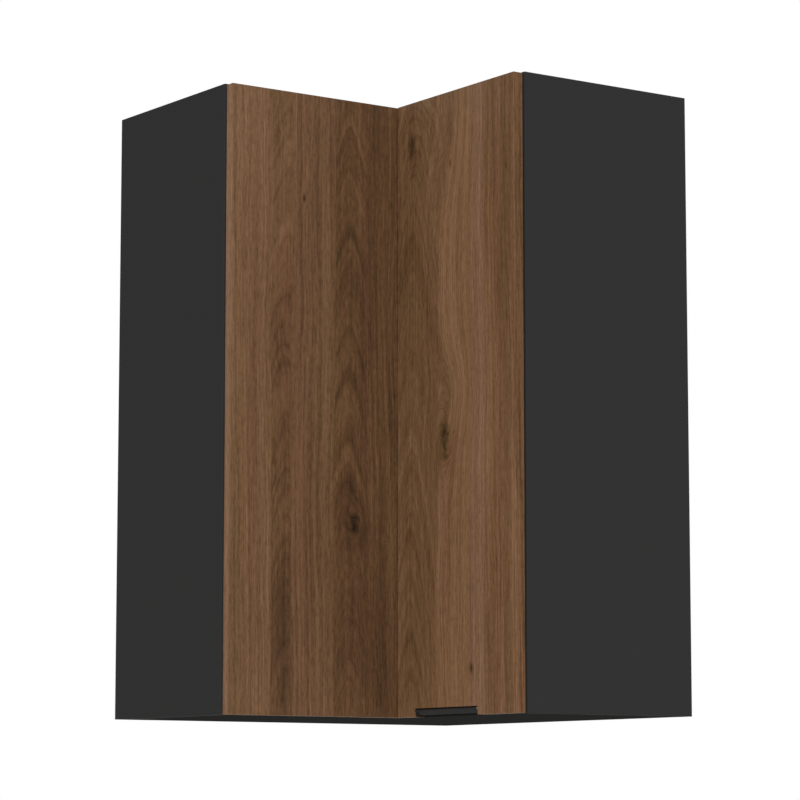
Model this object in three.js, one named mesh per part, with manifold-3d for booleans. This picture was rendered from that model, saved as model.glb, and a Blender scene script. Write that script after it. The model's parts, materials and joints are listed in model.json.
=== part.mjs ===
// Corner wall cabinet of a fitted kitchen: an L-shaped carcass of laminated board with
// two adjustable shelves, closed by a bi-fold door. The right-hand leaf hangs on the
// right-hand end panel, and the left-hand leaf is carried by the right-hand one.
//
// Millimetres. The origin is the corner of the room at the height of the underside.
// +X runs along the right-hand wall, -Y along the left-hand wall, and +Z is up.

import * as THREE from 'three';
import { mergeVertices } from 'three/addons/utils/BufferGeometryUtils.js';
import Module from 'manifold-3d';

const wasm = await Module();
wasm.setup();

// ---------------------------------------------------------------- driving dimensions

// Carcass.
const LEFT_WALL_LENGTH = 600;
const RIGHT_WALL_LENGTH = 600;
const HEIGHT = 900;
const DEPTH = 294;
const BOARD = 16;
const EDGE_ROUND = 1;

// Back boards, which slide in grooves, and the post in the corner of the room.
const BACK_BOARD = 3;
const BACK_INSET = 6.5;
const GROOVE_DEPTH = 8;
const GROOVE_PLAY = 0.3;
const POST_WIDTH = 100;

// Shelves and their pins.
const SHELF_BOARD = 16;
const SHELF_PLAY = 1;
const SHELF_SETBACK = 20;
const SHELF_CORNER_RADIUS = 12;
const PIN_RADIUS = 2.5;
const PIN_BORE_DEPTH = 9;
const PIN_NOSE = 9;
const PIN_NOSE_WIDTH = 7;
const PIN_COLLAR_RADIUS = 4.2;
const PIN_COLLAR = 0.7;
const PIN_FROM_FRONT = 37;
const PIN_FROM_WALL = 60;
const HOLE_PITCH = 32;

// Cam locks that draw the end panels against the top and the bottom.
const CAM_RADIUS = 7.5;
const CAM_HEIGHT = 12;
const CAM_FROM_JOINT = 34;
const CAM_FROM_WALL = 64;
const CAM_FROM_FRONT = 60;
const CAM_SLOT = 1.6;
const BOLT_RADIUS = 3;
const BOLT_GRIP = 10;

// Hanging brackets in the two top rear corners.
const HANGER_LENGTH = 58;
const HANGER_HEIGHT = 52;
const HANGER_WIDTH = 18;
const HANGER_DROP = 2;
const HANGER_NOSE_RADIUS = 14;
const HOOK_PLATE = 2.5;
const HOOK_HEIGHT = 30;
const HOOK_LIP = 4;
const HANGER_SCREW_SHARES = [0.3, 0.7];

// Door leaves.
const DOOR_BOARD = 16;
const DOOR_GAP = 2;
const DOOR_SIDE_REVEAL = 2;
const DOOR_TOP_REVEAL = 2;
const FOLD_GAP = 2;

// Finger pull in the lower edge of the right-hand leaf.
const PULL_FROM_FOLD = 44;
const PULL_LENGTH = 150;
const PULL_NOTCH = 12;
const PULL_SHEET = 1.5;
const PULL_FLANGE = 30;
const PULL_PROUD = 3;
const PULL_ROOF_GAP = 1.4;
const PULL_LIP_DROP = 8.4;
const PULL_LIP_RAKE = 7.5;
const PULL_END_PLAY = 0.4;
const PULL_SCREW_SPACING = 96;
const SCREW_RADIUS = 2;
const SCREW_HEAD_RADIUS = 4;
const SCREW_HEAD = 2;
const SCREW_LENGTH = 11;
const DRIVE_LENGTH = 4.4;
const DRIVE_WIDTH = 1;

// Buffers that the leaves close against.
const BUFFER_RADIUS = 4;
const BUFFER_CLEARANCE = 0.3;
const BUFFER_FROM_END = 30;

// Goose-neck hinges between the right-hand end panel and the right-hand leaf.
const HINGE_FROM_DOOR_END = 100;
const AXIS_FROM_DOOR_EDGE = 4.5;
const AXIS_FROM_DOOR_FACE = 7;
const CUP_RADIUS = 17.5;
const CUP_DEPTH = 12.5;
const CUP_WALL = 1.2;
const CUP_FROM_DOOR_EDGE = 22.5;
const CUP_FLANGE = 0.8;
const CUP_FLANGE_WIDTH = 30;
const CUP_FLANGE_SPAN = 56;
const CUP_FLANGE_RADIUS = 7;
const CUP_SCREW_RADIUS = 3.4;
const CUP_SCREW_SPACING = 45;
const CUP_SCREW_OFFSET = 6;
const LINK_COUNT = 3;
const LINK_CLEARANCE = 0.3;
const LINK_CHEEK = 1.2;
const LINK_WEB = 1;
const LINK_BAND = 8;
const LINK_SEGMENTS = 9;
const CORE_HALF_WIDTH = 2.7;
const PANEL_CORNER_CLEARANCE = 0.5;
const PANEL_SIDE_CLEARANCE = 0.7;
const CUP_FLOOR_CLEARANCE = 0.5;
const ARM_END = 104;
const ARM_SHEET = 1.5;
const ARM_BEFORE_PLATE = 6;
const ARM_SCREW_RADIUS = 3.2;
const ARM_SCREW_PROUD = 0.8;
const ARM_SCREWS_FROM_END = [12, 34];
const PLATE_FROM_FRONT = 20;
const PLATE_LENGTH = 42;
const PLATE_THICKNESS = 3;
const PLATE_SPAN = 48;
const PLATE_WING_WIDTH = 18;
const PLATE_WING_RADIUS = 6;
const PLATE_SCREW_SPACING = 32;
const PLATE_SCREW_PROUD = 1.2;
const RAIL_CHANNEL_DEPTH = 4;
const RAIL_CHANNEL_FROM_END = 8;

// Pin hinges between the two leaves.
const FOLD_HINGE_FROM_DOOR_END = 150;
const FOLD_PIN_RADIUS = 1.5;
const FOLD_PIN_PLAY = 0.15;
const FOLD_PIN_HEAD = 1;
const FOLD_PIN_HEAD_RADIUS = 2.3;
const FOLD_PIN_END = 0.3;
const KNUCKLE_RADIUS = 3.4;
const KNUCKLE_LENGTH = 10;
const KNUCKLE_PLAY = 0.2;
const FOLD_AXIS_FROM_FACE = 3;
const FOLD_AXIS_BEHIND_DOOR = 4;
const WING_SHEET = 1.6;
const WING_LENGTH = 32;
const WING_HEIGHT = 40;
const WING_PLAY = 0.4;
const WING_SCREW_RADIUS = 3;
const WING_SCREW_PROUD = 0.8;
const WING_SCREW_SHARE = 0.6;
const WING_SCREW_HEIGHT_SHARE = 0.55;

// Running and fitting clearance of a round piece in its bore.
const BORE_PLAY = 0.3;

// How far a shape sinks into the one it is joined to, or a tool runs past a face.
const SUNK = 0.5;
const PAST = 1;

// Sides of the round pieces.
const ROUND_SIDES = 20;
const CUP_SIDES = 32;
const KNUCKLE_SIDES = 16;
const SMALL_SIDES = 12;

// ---------------------------------------------------------------- finishes

const FINISHES = {
  carcassBoard: { color: 0x343434, roughness: 0.62, metalness: 0 },
  backBoard: { color: 0x2d2d2d, roughness: 0.75, metalness: 0 },
  walnutBoard: { color: 0x6b4d37, roughness: 0.55, metalness: 0 },
  blackMetal: { color: 0x2b2b2c, roughness: 0.45, metalness: 0.6 },
  nickel: { color: 0xb4b4b0, roughness: 0.3, metalness: 1 },
  zinc: { color: 0x9a9c9c, roughness: 0.45, metalness: 1 },
  clearRubber: { color: 0xc9c9c4, roughness: 0.4, metalness: 0 },
};

// ---------------------------------------------------------------- solid building

function asSolid(geometry) {
  geometry.deleteAttribute('normal');
  geometry.deleteAttribute('uv');
  const merged = mergeVertices(geometry, 1e-3);
  return new wasm.Manifold(new wasm.Mesh({
    numProp: 3,
    vertProperties: new Float32Array(merged.attributes.position.array),
    triVerts: new Uint32Array(merged.index.array),
  }));
}

function asMesh(name, solid, finish) {
  const data = solid.getMesh();
  const geometry = new THREE.BufferGeometry();
  geometry.setAttribute('position', new THREE.BufferAttribute(data.vertProperties, 3));
  geometry.setIndex(new THREE.BufferAttribute(data.triVerts, 1));
  geometry.computeVertexNormals();
  const material = new THREE.MeshStandardMaterial({ ...FINISHES[finish], flatShading: true });
  const mesh = new THREE.Mesh(geometry, material);
  mesh.name = name;
  return mesh;
}

// A block between two opposite corners, given in any order.
function block([xa, xb], [ya, yb], [za, zb]) {
  const geometry = new THREE.BoxGeometry(Math.abs(xb - xa), Math.abs(yb - ya), Math.abs(zb - za));
  return asSolid(geometry.translate((xa + xb) / 2, (ya + yb) / 2, (za + zb) / 2));
}

// A flat outline in X and Y raised from za to zb.
function prism(shape, [za, zb], curveSegments = 12) {
  const settings = { depth: zb - za, bevelEnabled: false, curveSegments };
  return asSolid(new THREE.ExtrudeGeometry(shape, settings).translate(0, 0, za));
}

function outline(points) {
  return new THREE.Shape(points.map(([x, y]) => new THREE.Vector2(x, y)));
}

// A rectangle in X and Y with its four corners rounded.
function roundedRectangle([xa, xb], [ya, yb], radius) {
  const shape = new THREE.Shape();
  shape.absarc(xb - radius, yb - radius, radius, 0, Math.PI / 2);
  shape.absarc(xa + radius, yb - radius, radius, Math.PI / 2, Math.PI);
  shape.absarc(xa + radius, ya + radius, radius, Math.PI, Math.PI * 1.5);
  shape.absarc(xb - radius, ya + radius, radius, Math.PI * 1.5, Math.PI * 2);
  return shape;
}

// A round bar along one axis, from one place to another on it. The centre gives the
// other two coordinates in X, Y, Z order.
function bar(axis, radius, [from, to], [first, second], sides = SMALL_SIDES) {
  const middle = (from + to) / 2;
  const geometry = new THREE.CylinderGeometry(radius, radius, Math.abs(to - from), sides);
  if (axis === 'x') {
    geometry.rotateZ(Math.PI / 2).translate(middle, first, second);
  } else if (axis === 'y') {
    geometry.translate(first, middle, second);
  } else {
    geometry.rotateX(Math.PI / 2).translate(first, second, middle);
  }
  return asSolid(geometry);
}

// A ring sector about the origin, in degrees, raised from za to zb.
function ringSector([inner, outer], [startDegrees, endDegrees], heights) {
  const start = THREE.MathUtils.degToRad(startDegrees);
  const end = THREE.MathUtils.degToRad(endDegrees);
  const shape = new THREE.Shape();
  shape.absarc(0, 0, outer, start, end, false);
  shape.absarc(0, 0, inner, end, start, true);
  return prism(shape, heights, LINK_SEGMENTS);
}

const join = (solids) => solids.reduce((whole, solid) => whole.add(solid));
const cut = (solid, tools) => tools.reduce((rest, tool) => rest.subtract(tool), solid);

function placed(object, x, y, z) {
  object.position.set(x, y, z);
  return object;
}

// ---------------------------------------------------------------- planes and places

const leftEndInside = -LEFT_WALL_LENGTH + BOARD;
const rightEndInside = RIGHT_WALL_LENGTH - BOARD;
const topUnderside = HEIGHT - BOARD;
const doorBack = DEPTH + DOOR_GAP;
const doorFace = doorBack + DOOR_BOARD;
const doorTop = HEIGHT - DOOR_TOP_REVEAL;
const foldEdgeRight = doorFace + FOLD_GAP;
const foldEdgeLeft = -(doorBack + FOLD_GAP);
const rightDoorEdge = RIGHT_WALL_LENGTH - DOOR_SIDE_REVEAL;
const leftDoorEdge = -(LEFT_WALL_LENGTH - DOOR_SIDE_REVEAL);

const hingeAxis = {
  x: rightDoorEdge - AXIS_FROM_DOOR_EDGE,
  y: -(doorFace - AXIS_FROM_DOOR_FACE),
};
const foldAxis = {
  x: doorFace - FOLD_AXIS_FROM_FACE,
  y: -(doorBack - FOLD_AXIS_BEHIND_DOOR),
};
const hingeHeights = [HINGE_FROM_DOOR_END, doorTop - HINGE_FROM_DOOR_END];
const foldHingeHeights = [FOLD_HINGE_FROM_DOOR_END, doorTop - FOLD_HINGE_FROM_DOOR_END];

const compartment = (HEIGHT - 2 * BOARD - 2 * SHELF_BOARD) / 3;
const shelfHeights = [BOARD + compartment, BOARD + 2 * compartment + SHELF_BOARD];

const backFace = BACK_INSET + BACK_BOARD;
const groove = [BACK_INSET - GROOVE_PLAY, backFace + GROOVE_PLAY];
const boardTuck = GROOVE_DEPTH - GROOVE_PLAY;

const pull = { start: foldEdgeRight + PULL_FROM_FOLD };
pull.end = pull.start + PULL_LENGTH;
pull.middle = (pull.start + pull.end) / 2;

// Where each shelf pin stands: a point on the board's inner face and the way its nose
// points into the cabinet.
const pinPlaces = [
  { x: PIN_FROM_WALL, y: leftEndInside, axis: 'y', into: 1, panel: 'leftEnd' },
  { x: DEPTH - PIN_FROM_FRONT, y: leftEndInside, axis: 'y', into: 1, panel: 'leftEnd' },
  { x: BOARD, y: -PIN_FROM_WALL, axis: 'x', into: 1, panel: 'post' },
  { x: rightEndInside, y: -PIN_FROM_WALL, axis: 'x', into: -1, panel: 'rightEnd' },
  { x: rightEndInside, y: -(DEPTH - PIN_FROM_FRONT), axis: 'x', into: -1, panel: 'rightEnd' },
];

// Where each cam lock sits on the top and the bottom, and the way its bolt points.
const camOffsets = [CAM_FROM_WALL, DEPTH - CAM_FROM_FRONT];
const camPlaces = [
  ...camOffsets.map((x) => ({ x, y: leftEndInside + CAM_FROM_JOINT, axis: 'y', toward: -1 })),
  ...camOffsets.map((y) => ({ x: rightEndInside - CAM_FROM_JOINT, y: -y, axis: 'x', toward: 1 })),
];
const camDecks = [
  { name: 'bottom', face: BOARD, into: -1, middle: BOARD / 2 },
  { name: 'top', face: topUnderside, into: 1, middle: topUnderside + BOARD / 2 },
];

// ---------------------------------------------------------------- bores and grooves

// The line of holes at one pin's place: the pin's own hole, and one pitch up and down.
function pinBores(panel) {
  const places = pinPlaces.filter((place) => place.panel === panel);
  const reach = (at, into) => [at + into, at - into * PIN_BORE_DEPTH];
  return places.flatMap((place) => shelfHeights.flatMap((shelf) => [-1, 0, 1].map((step) => {
    const z = shelf - PIN_RADIUS + step * HOLE_PITCH;
    const radius = PIN_RADIUS + BORE_PLAY;
    return place.axis === 'x'
      ? bar('x', radius, reach(place.x, place.into), [place.y, z])
      : bar('y', radius, reach(place.y, place.into), [place.x, z]);
  })));
}

// The bolt of a cam lock, from the cam's centre into the end panel.
function camBolt(place, z, radius, extra) {
  const length = CAM_FROM_JOINT + BOLT_GRIP + extra;
  return place.axis === 'x'
    ? bar('x', radius, [place.x, place.x + place.toward * length], [place.y, z])
    : bar('y', radius, [place.y, place.y + place.toward * length], [place.x, z]);
}

function camBores(deck) {
  return camPlaces.flatMap((place) => {
    const depths = [deck.face - deck.into, deck.face + deck.into * (CAM_HEIGHT + BORE_PLAY)];
    return [
      bar('z', CAM_RADIUS + BORE_PLAY, depths, [place.x, place.y], ROUND_SIDES),
      camBolt(place, deck.middle, BOLT_RADIUS + BORE_PLAY, BORE_PLAY),
    ];
  });
}

const boltBores = () => camDecks.flatMap((deck) => camPlaces.map(
  (place) => camBolt(place, deck.middle, BOLT_RADIUS + BORE_PLAY, BORE_PLAY)));

// ---------------------------------------------------------------- carcass boards

function leftEndPanel() {
  const front = roundedRectangle([-EDGE_ROUND, DEPTH], [-LEFT_WALL_LENGTH, leftEndInside], EDGE_ROUND);
  const board = prism(front, [0, HEIGHT], 3)
    .intersect(block([0, DEPTH], [-LEFT_WALL_LENGTH, leftEndInside], [0, HEIGHT]));
  const backGroove = block(groove, [leftEndInside - GROOVE_DEPTH, leftEndInside + 1],
    [BOARD - GROOVE_DEPTH, topUnderside + GROOVE_DEPTH]);
  return asMesh('left_end_panel', cut(board, [backGroove, ...pinBores('leftEnd'), ...boltBores()]),
    'carcassBoard');
}

function rightEndPanel() {
  const front = roundedRectangle([rightEndInside, RIGHT_WALL_LENGTH], [-DEPTH, EDGE_ROUND], EDGE_ROUND);
  const board = prism(front, [0, HEIGHT], 3)
    .intersect(block([rightEndInside, RIGHT_WALL_LENGTH], [-DEPTH, 0], [0, HEIGHT]));
  const backGroove = block([rightEndInside - 1, rightEndInside + GROOVE_DEPTH], groove.map((d) => -d),
    [BOARD - GROOVE_DEPTH, topUnderside + GROOVE_DEPTH]);
  return asMesh('right_end_panel', cut(board, [backGroove, ...pinBores('rightEnd'), ...boltBores()]),
    'carcassBoard');
}

// The top and the bottom are alike: an L between the end panels, grooved for the backs.
function deckPanel(name, deck) {
  const shape = outline([
    [0, 0], [0, leftEndInside], [DEPTH, leftEndInside],
    [DEPTH, -DEPTH], [rightEndInside, -DEPTH], [rightEndInside, 0],
  ]);
  const heights = deck.into > 0 ? [topUnderside, HEIGHT] : [0, BOARD];
  const grooveHeights = [deck.face - deck.into, deck.face + deck.into * GROOVE_DEPTH];
  const tuck = POST_WIDTH - GROOVE_DEPTH;
  const grooves = [
    block(groove, [leftEndInside - 1, -tuck], grooveHeights),
    block([tuck, rightEndInside + 1], groove.map((d) => -d), grooveHeights),
  ];
  return asMesh(name, cut(prism(shape, heights), [...grooves, ...camBores(deck)]), 'carcassBoard');
}

// Two strips stand in the corner of the room and take the inner edges of the backs.
function cornerPosts() {
  const heights = [BOARD, topUnderside];
  const left = block([0, BOARD], [-POST_WIDTH, 0], heights);
  const leftGroove = block(groove, [-POST_WIDTH - 1, -POST_WIDTH + GROOVE_DEPTH], [0, HEIGHT]);
  const right = block([BOARD, POST_WIDTH], [-BOARD, 0], heights);
  const rightGroove = block([POST_WIDTH - GROOVE_DEPTH, POST_WIDTH + 1], groove.map((d) => -d), [0, HEIGHT]);
  return [
    asMesh('corner_post_left', cut(left, [leftGroove, ...pinBores('post')]), 'carcassBoard'),
    asMesh('corner_post_right', cut(right, [rightGroove]), 'carcassBoard'),
  ];
}

// Each back has a notch in its top outer corner, where the hanging bracket reaches out.
function backBoards() {
  const heights = [BOARD - boardTuck, topUnderside + boardTuck];
  const innerEdge = POST_WIDTH - boardTuck;
  const notchFoot = topUnderside - HANGER_DROP - HANGER_HEIGHT - HANGER_DROP;
  const notchDepth = HANGER_WIDTH + HANGER_DROP;
  const left = block([BACK_INSET, backFace], [leftEndInside - boardTuck, -innerEdge], heights);
  const leftNotch = block([0, DEPTH], [-LEFT_WALL_LENGTH, leftEndInside + notchDepth], [notchFoot, HEIGHT]);
  const right = block([innerEdge, rightEndInside + boardTuck], [-BACK_INSET, -backFace], heights);
  const rightNotch = block([rightEndInside - notchDepth, RIGHT_WALL_LENGTH], [-DEPTH, 0],
    [notchFoot, HEIGHT]);
  return [
    asMesh('left_back_board', cut(left, [leftNotch]), 'backBoard'),
    asMesh('right_back_board', cut(right, [rightNotch]), 'backBoard'),
  ];
}

// ---------------------------------------------------------------- shelves and pins

function shelf(name, height) {
  const postX = BOARD + SHELF_PLAY;
  const postEnd = POST_WIDTH + SHELF_PLAY;
  const back = backFace + SHELF_PLAY;
  const front = DEPTH - SHELF_SETBACK;
  const radius = SHELF_CORNER_RADIUS;
  const shape = outline([
    [postX, -postX], [postX, -postEnd], [back, -postEnd],
    [back, leftEndInside + SHELF_PLAY], [front, leftEndInside + SHELF_PLAY],
  ]);
  shape.lineTo(front, -front - radius);
  shape.absarc(front + radius, -front - radius, radius, Math.PI, Math.PI / 2, true);
  shape.lineTo(rightEndInside - SHELF_PLAY, -front);
  shape.lineTo(rightEndInside - SHELF_PLAY, -back);
  shape.lineTo(postEnd, -back);
  shape.lineTo(postEnd, -postX);
  shape.closePath();
  return asMesh(name, prism(shape, [height, height + SHELF_BOARD], 6), 'carcassBoard');
}

// A shelf pin: a shank in the bore, a collar against the board, and a flat-topped nose.
function shelfPin(name, place, height) {
  const along = (from, to) => [place.into * from, place.into * to];
  const round = (radius, from, to, z) => bar(place.axis, radius, along(from, to), [0, z]);
  const nose = place.axis === 'x'
    ? block(along(0, PIN_NOSE), [-PIN_NOSE_WIDTH / 2, PIN_NOSE_WIDTH / 2], [-PIN_RADIUS / 2, PIN_RADIUS])
    : block([-PIN_NOSE_WIDTH / 2, PIN_NOSE_WIDTH / 2], along(0, PIN_NOSE), [-PIN_RADIUS / 2, PIN_RADIUS]);
  const shank = round(PIN_RADIUS, -(PIN_BORE_DEPTH - BORE_PLAY), 1, 0);
  const collar = round(PIN_COLLAR_RADIUS, 0, PIN_COLLAR, 0);
  const mesh = asMesh(name, join([nose, shank, collar]), 'nickel');
  return placed(mesh, place.x, place.y, height - PIN_RADIUS);
}

function shelvesAndPins() {
  const group = new THREE.Group();
  shelfHeights.forEach((height, level) => {
    const label = level === 0 ? 'lower' : 'upper';
    group.add(shelf(`${label}_shelf`, height));
    pinPlaces.forEach((place, index) => {
      group.add(shelfPin(`${label}_shelf_pin_${index + 1}`, place, height));
    });
  });
  return group;
}

// ---------------------------------------------------------------- cam locks

// A cam with its bolt: the slotted drum in the deck and the bolt it pulls.
function camLock(name, place, deck) {
  const drumHeights = [deck.face, deck.face + deck.into * CAM_HEIGHT];
  const drum = bar('z', CAM_RADIUS, drumHeights, [place.x, place.y], ROUND_SIDES);
  const half = CAM_RADIUS * 0.62;
  const slotHeights = [deck.face - deck.into, deck.face + deck.into * CAM_SLOT];
  const slots = [
    block([place.x - half, place.x + half], [place.y - CAM_SLOT / 2, place.y + CAM_SLOT / 2], slotHeights),
    block([place.x - CAM_SLOT / 2, place.x + CAM_SLOT / 2], [place.y - half, place.y + half], slotHeights),
  ];
  const bolt = camBolt(place, deck.middle, BOLT_RADIUS, 0);
  return asMesh(name, cut(join([drum, bolt]), slots), 'zinc');
}

const camLocks = () => camDecks.flatMap((deck) => camPlaces.map(
  (place, index) => camLock(`${deck.name}_cam_lock_${index + 1}`, place, deck)));

// ---------------------------------------------------------------- hanging brackets

// Built for the wall at local X = 0 and the end panel at local Y = 0, below the top
// panel at local Z = 0. The side says which way along Y the cabinet's inside lies.
function hanger(label, side) {
  const width = (from, to) => [side * from, side * to];
  const middle = HANGER_WIDTH / 2;
  const start = backFace + SHELF_PLAY;
  const end = start + HANGER_LENGTH;
  const top = -HANGER_DROP;
  const foot = top - HANGER_HEIGHT;
  const radius = HANGER_NOSE_RADIUS;
  const profile = new THREE.Shape();
  profile.moveTo(start, top);
  profile.lineTo(start, foot);
  profile.absarc(end - radius, foot + radius, radius, -Math.PI / 2, 0, false);
  profile.lineTo(end, top);
  const body = asSolid(new THREE.ExtrudeGeometry(profile, {
    depth: HANGER_WIDTH, bevelEnabled: false, curveSegments: 6,
  }).rotateX(Math.PI / 2).translate(0, side > 0 ? HANGER_WIDTH : 0, 0));
  const hookTop = top - HANGER_HEIGHT / 4;
  const hookFoot = hookTop - HOOK_HEIGHT;
  const hookSide = width(middle - HOOK_PLATE / 2, middle + HOOK_PLATE / 2);
  const slotHalf = HOOK_PLATE / 2 + BORE_PLAY;
  const slot = block([0, end - radius], width(middle - slotHalf, middle + slotHalf),
    [hookFoot - BORE_PLAY, hookTop + BORE_PLAY]);
  const flatNose = top - foot - radius;
  const screwHeights = HANGER_SCREW_SHARES.map((share) => foot + radius + flatNose * share);
  const screws = screwHeights.map((z) => bar('x', SCREW_HEAD_RADIUS, [end - SUNK, end + SCREW_HEAD],
    [side * middle, z]));
  const drives = screwHeights.map((z) => block([end + SCREW_HEAD / 2, end + SCREW_HEAD + PAST],
    width(middle - DRIVE_LENGTH / 2, middle + DRIVE_LENGTH / 2),
    [z - DRIVE_WIDTH / 2, z + DRIVE_WIDTH / 2]));
  const housing = cut(join([cut(body, [slot]), ...screws]), drives);
  const strap = block([HOOK_PLATE, end - radius - PAST], hookSide, [hookFoot, hookTop]);
  const mouth = block([HOOK_PLATE * 2, start - HOOK_PLATE], width(0, HANGER_WIDTH),
    [hookFoot - PAST, hookTop - HOOK_LIP * 2]);
  const lip = block([0, HOOK_PLATE + SUNK], hookSide, [hookFoot, hookTop - HOOK_LIP]);
  const hook = join([cut(strap, [mouth]), lip]);
  return [
    asMesh(`${label}_hanger_housing`, housing, 'zinc'),
    asMesh(`${label}_hanger_hook`, hook, 'zinc'),
  ];
}

function hangers() {
  const left = new THREE.Group();
  left.add(...hanger('left', 1));
  placed(left, 0, leftEndInside, topUnderside);
  const right = new THREE.Group();
  right.add(...hanger('right', -1));
  right.rotation.z = -Math.PI / 2;
  placed(right, rightEndInside - GROOVE_PLAY, 0, topUnderside);
  return [left, right];
}

// ---------------------------------------------------------------- door leaves

function leftDoor() {
  const shape = roundedRectangle([doorBack, doorFace], [leftDoorEdge, foldEdgeLeft], EDGE_ROUND);
  return asMesh('left_door', prism(shape, [0, doorTop], 3), 'walnutBoard');
}

function rightDoor() {
  const shape = roundedRectangle([foldEdgeRight, rightDoorEdge], [-doorFace, -doorBack], EDGE_ROUND);
  const leaf = prism(shape, [0, doorTop], 3);
  const notch = block([pull.start, pull.end], [-doorFace - 1, -doorBack + 1], [-1, PULL_NOTCH]);
  const cupX = rightDoorEdge - CUP_FROM_DOOR_EDGE;
  const cupBores = hingeHeights.map((z) => bar('y', CUP_RADIUS + BORE_PLAY,
    [-doorBack + 1, -doorBack - CUP_DEPTH - BORE_PLAY], [cupX, z], CUP_SIDES));
  const screwBores = pullScrewPlaces().map((x) => bar('y', SCREW_RADIUS + BORE_PLAY,
    [-doorBack + 1, -doorBack - SCREW_LENGTH], [x, pullScrewHeight()]));
  return asMesh('right_door', cut(leaf, [notch, ...cupBores, ...screwBores]), 'walnutBoard');
}

// ---------------------------------------------------------------- finger pull

function pullScrewPlaces() {
  return [pull.middle - PULL_SCREW_SPACING / 2, pull.middle + PULL_SCREW_SPACING / 2];
}

function pullScrewHeight() {
  return PULL_NOTCH + PULL_FLANGE * 0.6;
}

// One bent strip: a flange up the back of the leaf, a roof that comes out just below
// the notch's own, and a lip that rakes back as it drops, open below for the fingers.
function fingerPull() {
  const roofTop = PULL_NOTCH - PULL_ROOF_GAP;
  const roofUnder = roofTop - PULL_SHEET;
  const flangeTop = PULL_NOTCH + PULL_FLANGE;
  const back = doorBack - PULL_SHEET;
  const front = doorFace + PULL_PROUD;
  const lipFoot = roofTop - PULL_LIP_DROP;
  const lipSheet = PULL_SHEET * Math.hypot(PULL_LIP_DROP, PULL_LIP_RAKE) / PULL_LIP_DROP;
  const rakeAtRoof = PULL_LIP_RAKE * PULL_SHEET / PULL_LIP_DROP;
  const section = outline([
    [front, roofTop], [doorBack, roofTop], [doorBack, flangeTop], [back, flangeTop],
    [back, roofUnder], [front - rakeAtRoof - lipSheet, roofUnder],
    [front - PULL_LIP_RAKE - lipSheet, lipFoot], [front - PULL_LIP_RAKE, lipFoot],
  ]);
  const length = PULL_LENGTH - 2 * PULL_END_PLAY;
  const strip = asSolid(new THREE.ExtrudeGeometry(section, { depth: length, bevelEnabled: false })
    .rotateX(Math.PI / 2).rotateZ(-Math.PI / 2).translate(length, 0, 0));
  const bores = pullScrewPlaces().map((x) => bar('y', SCREW_RADIUS + BORE_PLAY,
    [-doorBack - 1, -back + 1], [x - pull.start - PULL_END_PLAY, pullScrewHeight()]));
  return placed(asMesh('finger_pull', cut(strip, bores), 'blackMetal'), pull.start + PULL_END_PLAY, 0, 0);
}

function pullScrews() {
  const seat = -(doorBack - PULL_SHEET);
  return pullScrewPlaces().map((x, index) => {
    const shank = bar('y', SCREW_RADIUS, [seat + SUNK, -doorBack - SCREW_LENGTH + BORE_PLAY], [0, 0]);
    const head = bar('y', SCREW_HEAD_RADIUS, [seat, seat + SCREW_HEAD], [0, 0], ROUND_SIDES);
    const long = [-DRIVE_LENGTH / 2, DRIVE_LENGTH / 2];
    const narrow = [-DRIVE_WIDTH / 2, DRIVE_WIDTH / 2];
    const depths = [seat + SCREW_HEAD / 2, seat + SCREW_HEAD + PAST];
    const cross = [block(long, depths, narrow), block(narrow, depths, long)];
    const mesh = asMesh(`pull_screw_${index + 1}`, cut(join([shank, head]), cross), 'nickel');
    return placed(mesh, x, 0, pullScrewHeight());
  });
}

// ---------------------------------------------------------------- buffers

// A soft round pad with a domed face, built along local Z from the leaf's back.
function bufferPad() {
  const thickness = DOOR_GAP - BUFFER_CLEARANCE;
  const profile = [
    [0, 0], [BUFFER_RADIUS, 0], [BUFFER_RADIUS, thickness * 0.4],
    [BUFFER_RADIUS * 0.8, thickness * 0.85], [BUFFER_RADIUS * 0.4, thickness], [0, thickness],
  ].map(([r, z]) => new THREE.Vector2(r, z));
  return new THREE.LatheGeometry(profile, 16);
}

function buffers() {
  const leftPads = [BUFFER_FROM_END, doorTop - BUFFER_FROM_END].map((z, index) => {
    const pad = asSolid(bufferPad().rotateZ(Math.PI / 2));
    const y = -(LEFT_WALL_LENGTH - BOARD / 2);
    return placed(asMesh(`left_buffer_${index + 1}`, pad, 'clearRubber'), doorBack, y, z);
  });
  const deckFronts = [BOARD / 2, HEIGHT - BOARD / 2 - DOOR_TOP_REVEAL / 2];
  const rightPads = deckFronts.map((z, index) => {
    const pad = asSolid(bufferPad());
    const x = foldEdgeRight + BUFFER_FROM_END;
    return placed(asMesh(`right_buffer_${index + 1}`, pad, 'clearRubber'), x, -doorBack, z);
  });
  return [...leftPads, ...rightPads];
}

// ---------------------------------------------------------------- goose-neck hinges

// The hinge's own frame has its origin on the swing axis: local X is the distance along
// the leaf and local Y the distance towards the wall.
const hinge = {
  panelInside: rightEndInside - hingeAxis.x,
  panelFront: -DEPTH - hingeAxis.y,
  doorBack: -doorBack - hingeAxis.y,
  cupCentre: AXIS_FROM_DOOR_EDGE - CUP_FROM_DOOR_EDGE,
};
hinge.cupFloor = hinge.doorBack - CUP_DEPTH + CUP_WALL;
hinge.innerRadius = Math.hypot(hinge.panelInside, hinge.panelFront) + PANEL_CORNER_CLEARANCE;
hinge.shy = hinge.panelInside - PANEL_SIDE_CLEARANCE;

// The curved links nest inside each other, the first one next to the arm and the last
// one, the solid core, in the middle. Each swings about the leaf's own axis.
function linkSizes(order) {
  const inward = LINK_COUNT - order;
  return {
    outerRadius: hinge.innerRadius + LINK_BAND + inward * (LINK_WEB + LINK_CLEARANCE),
    halfWidth: CORE_HALF_WIDTH + inward * (LINK_CHEEK + LINK_CLEARANCE),
  };
}

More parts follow.
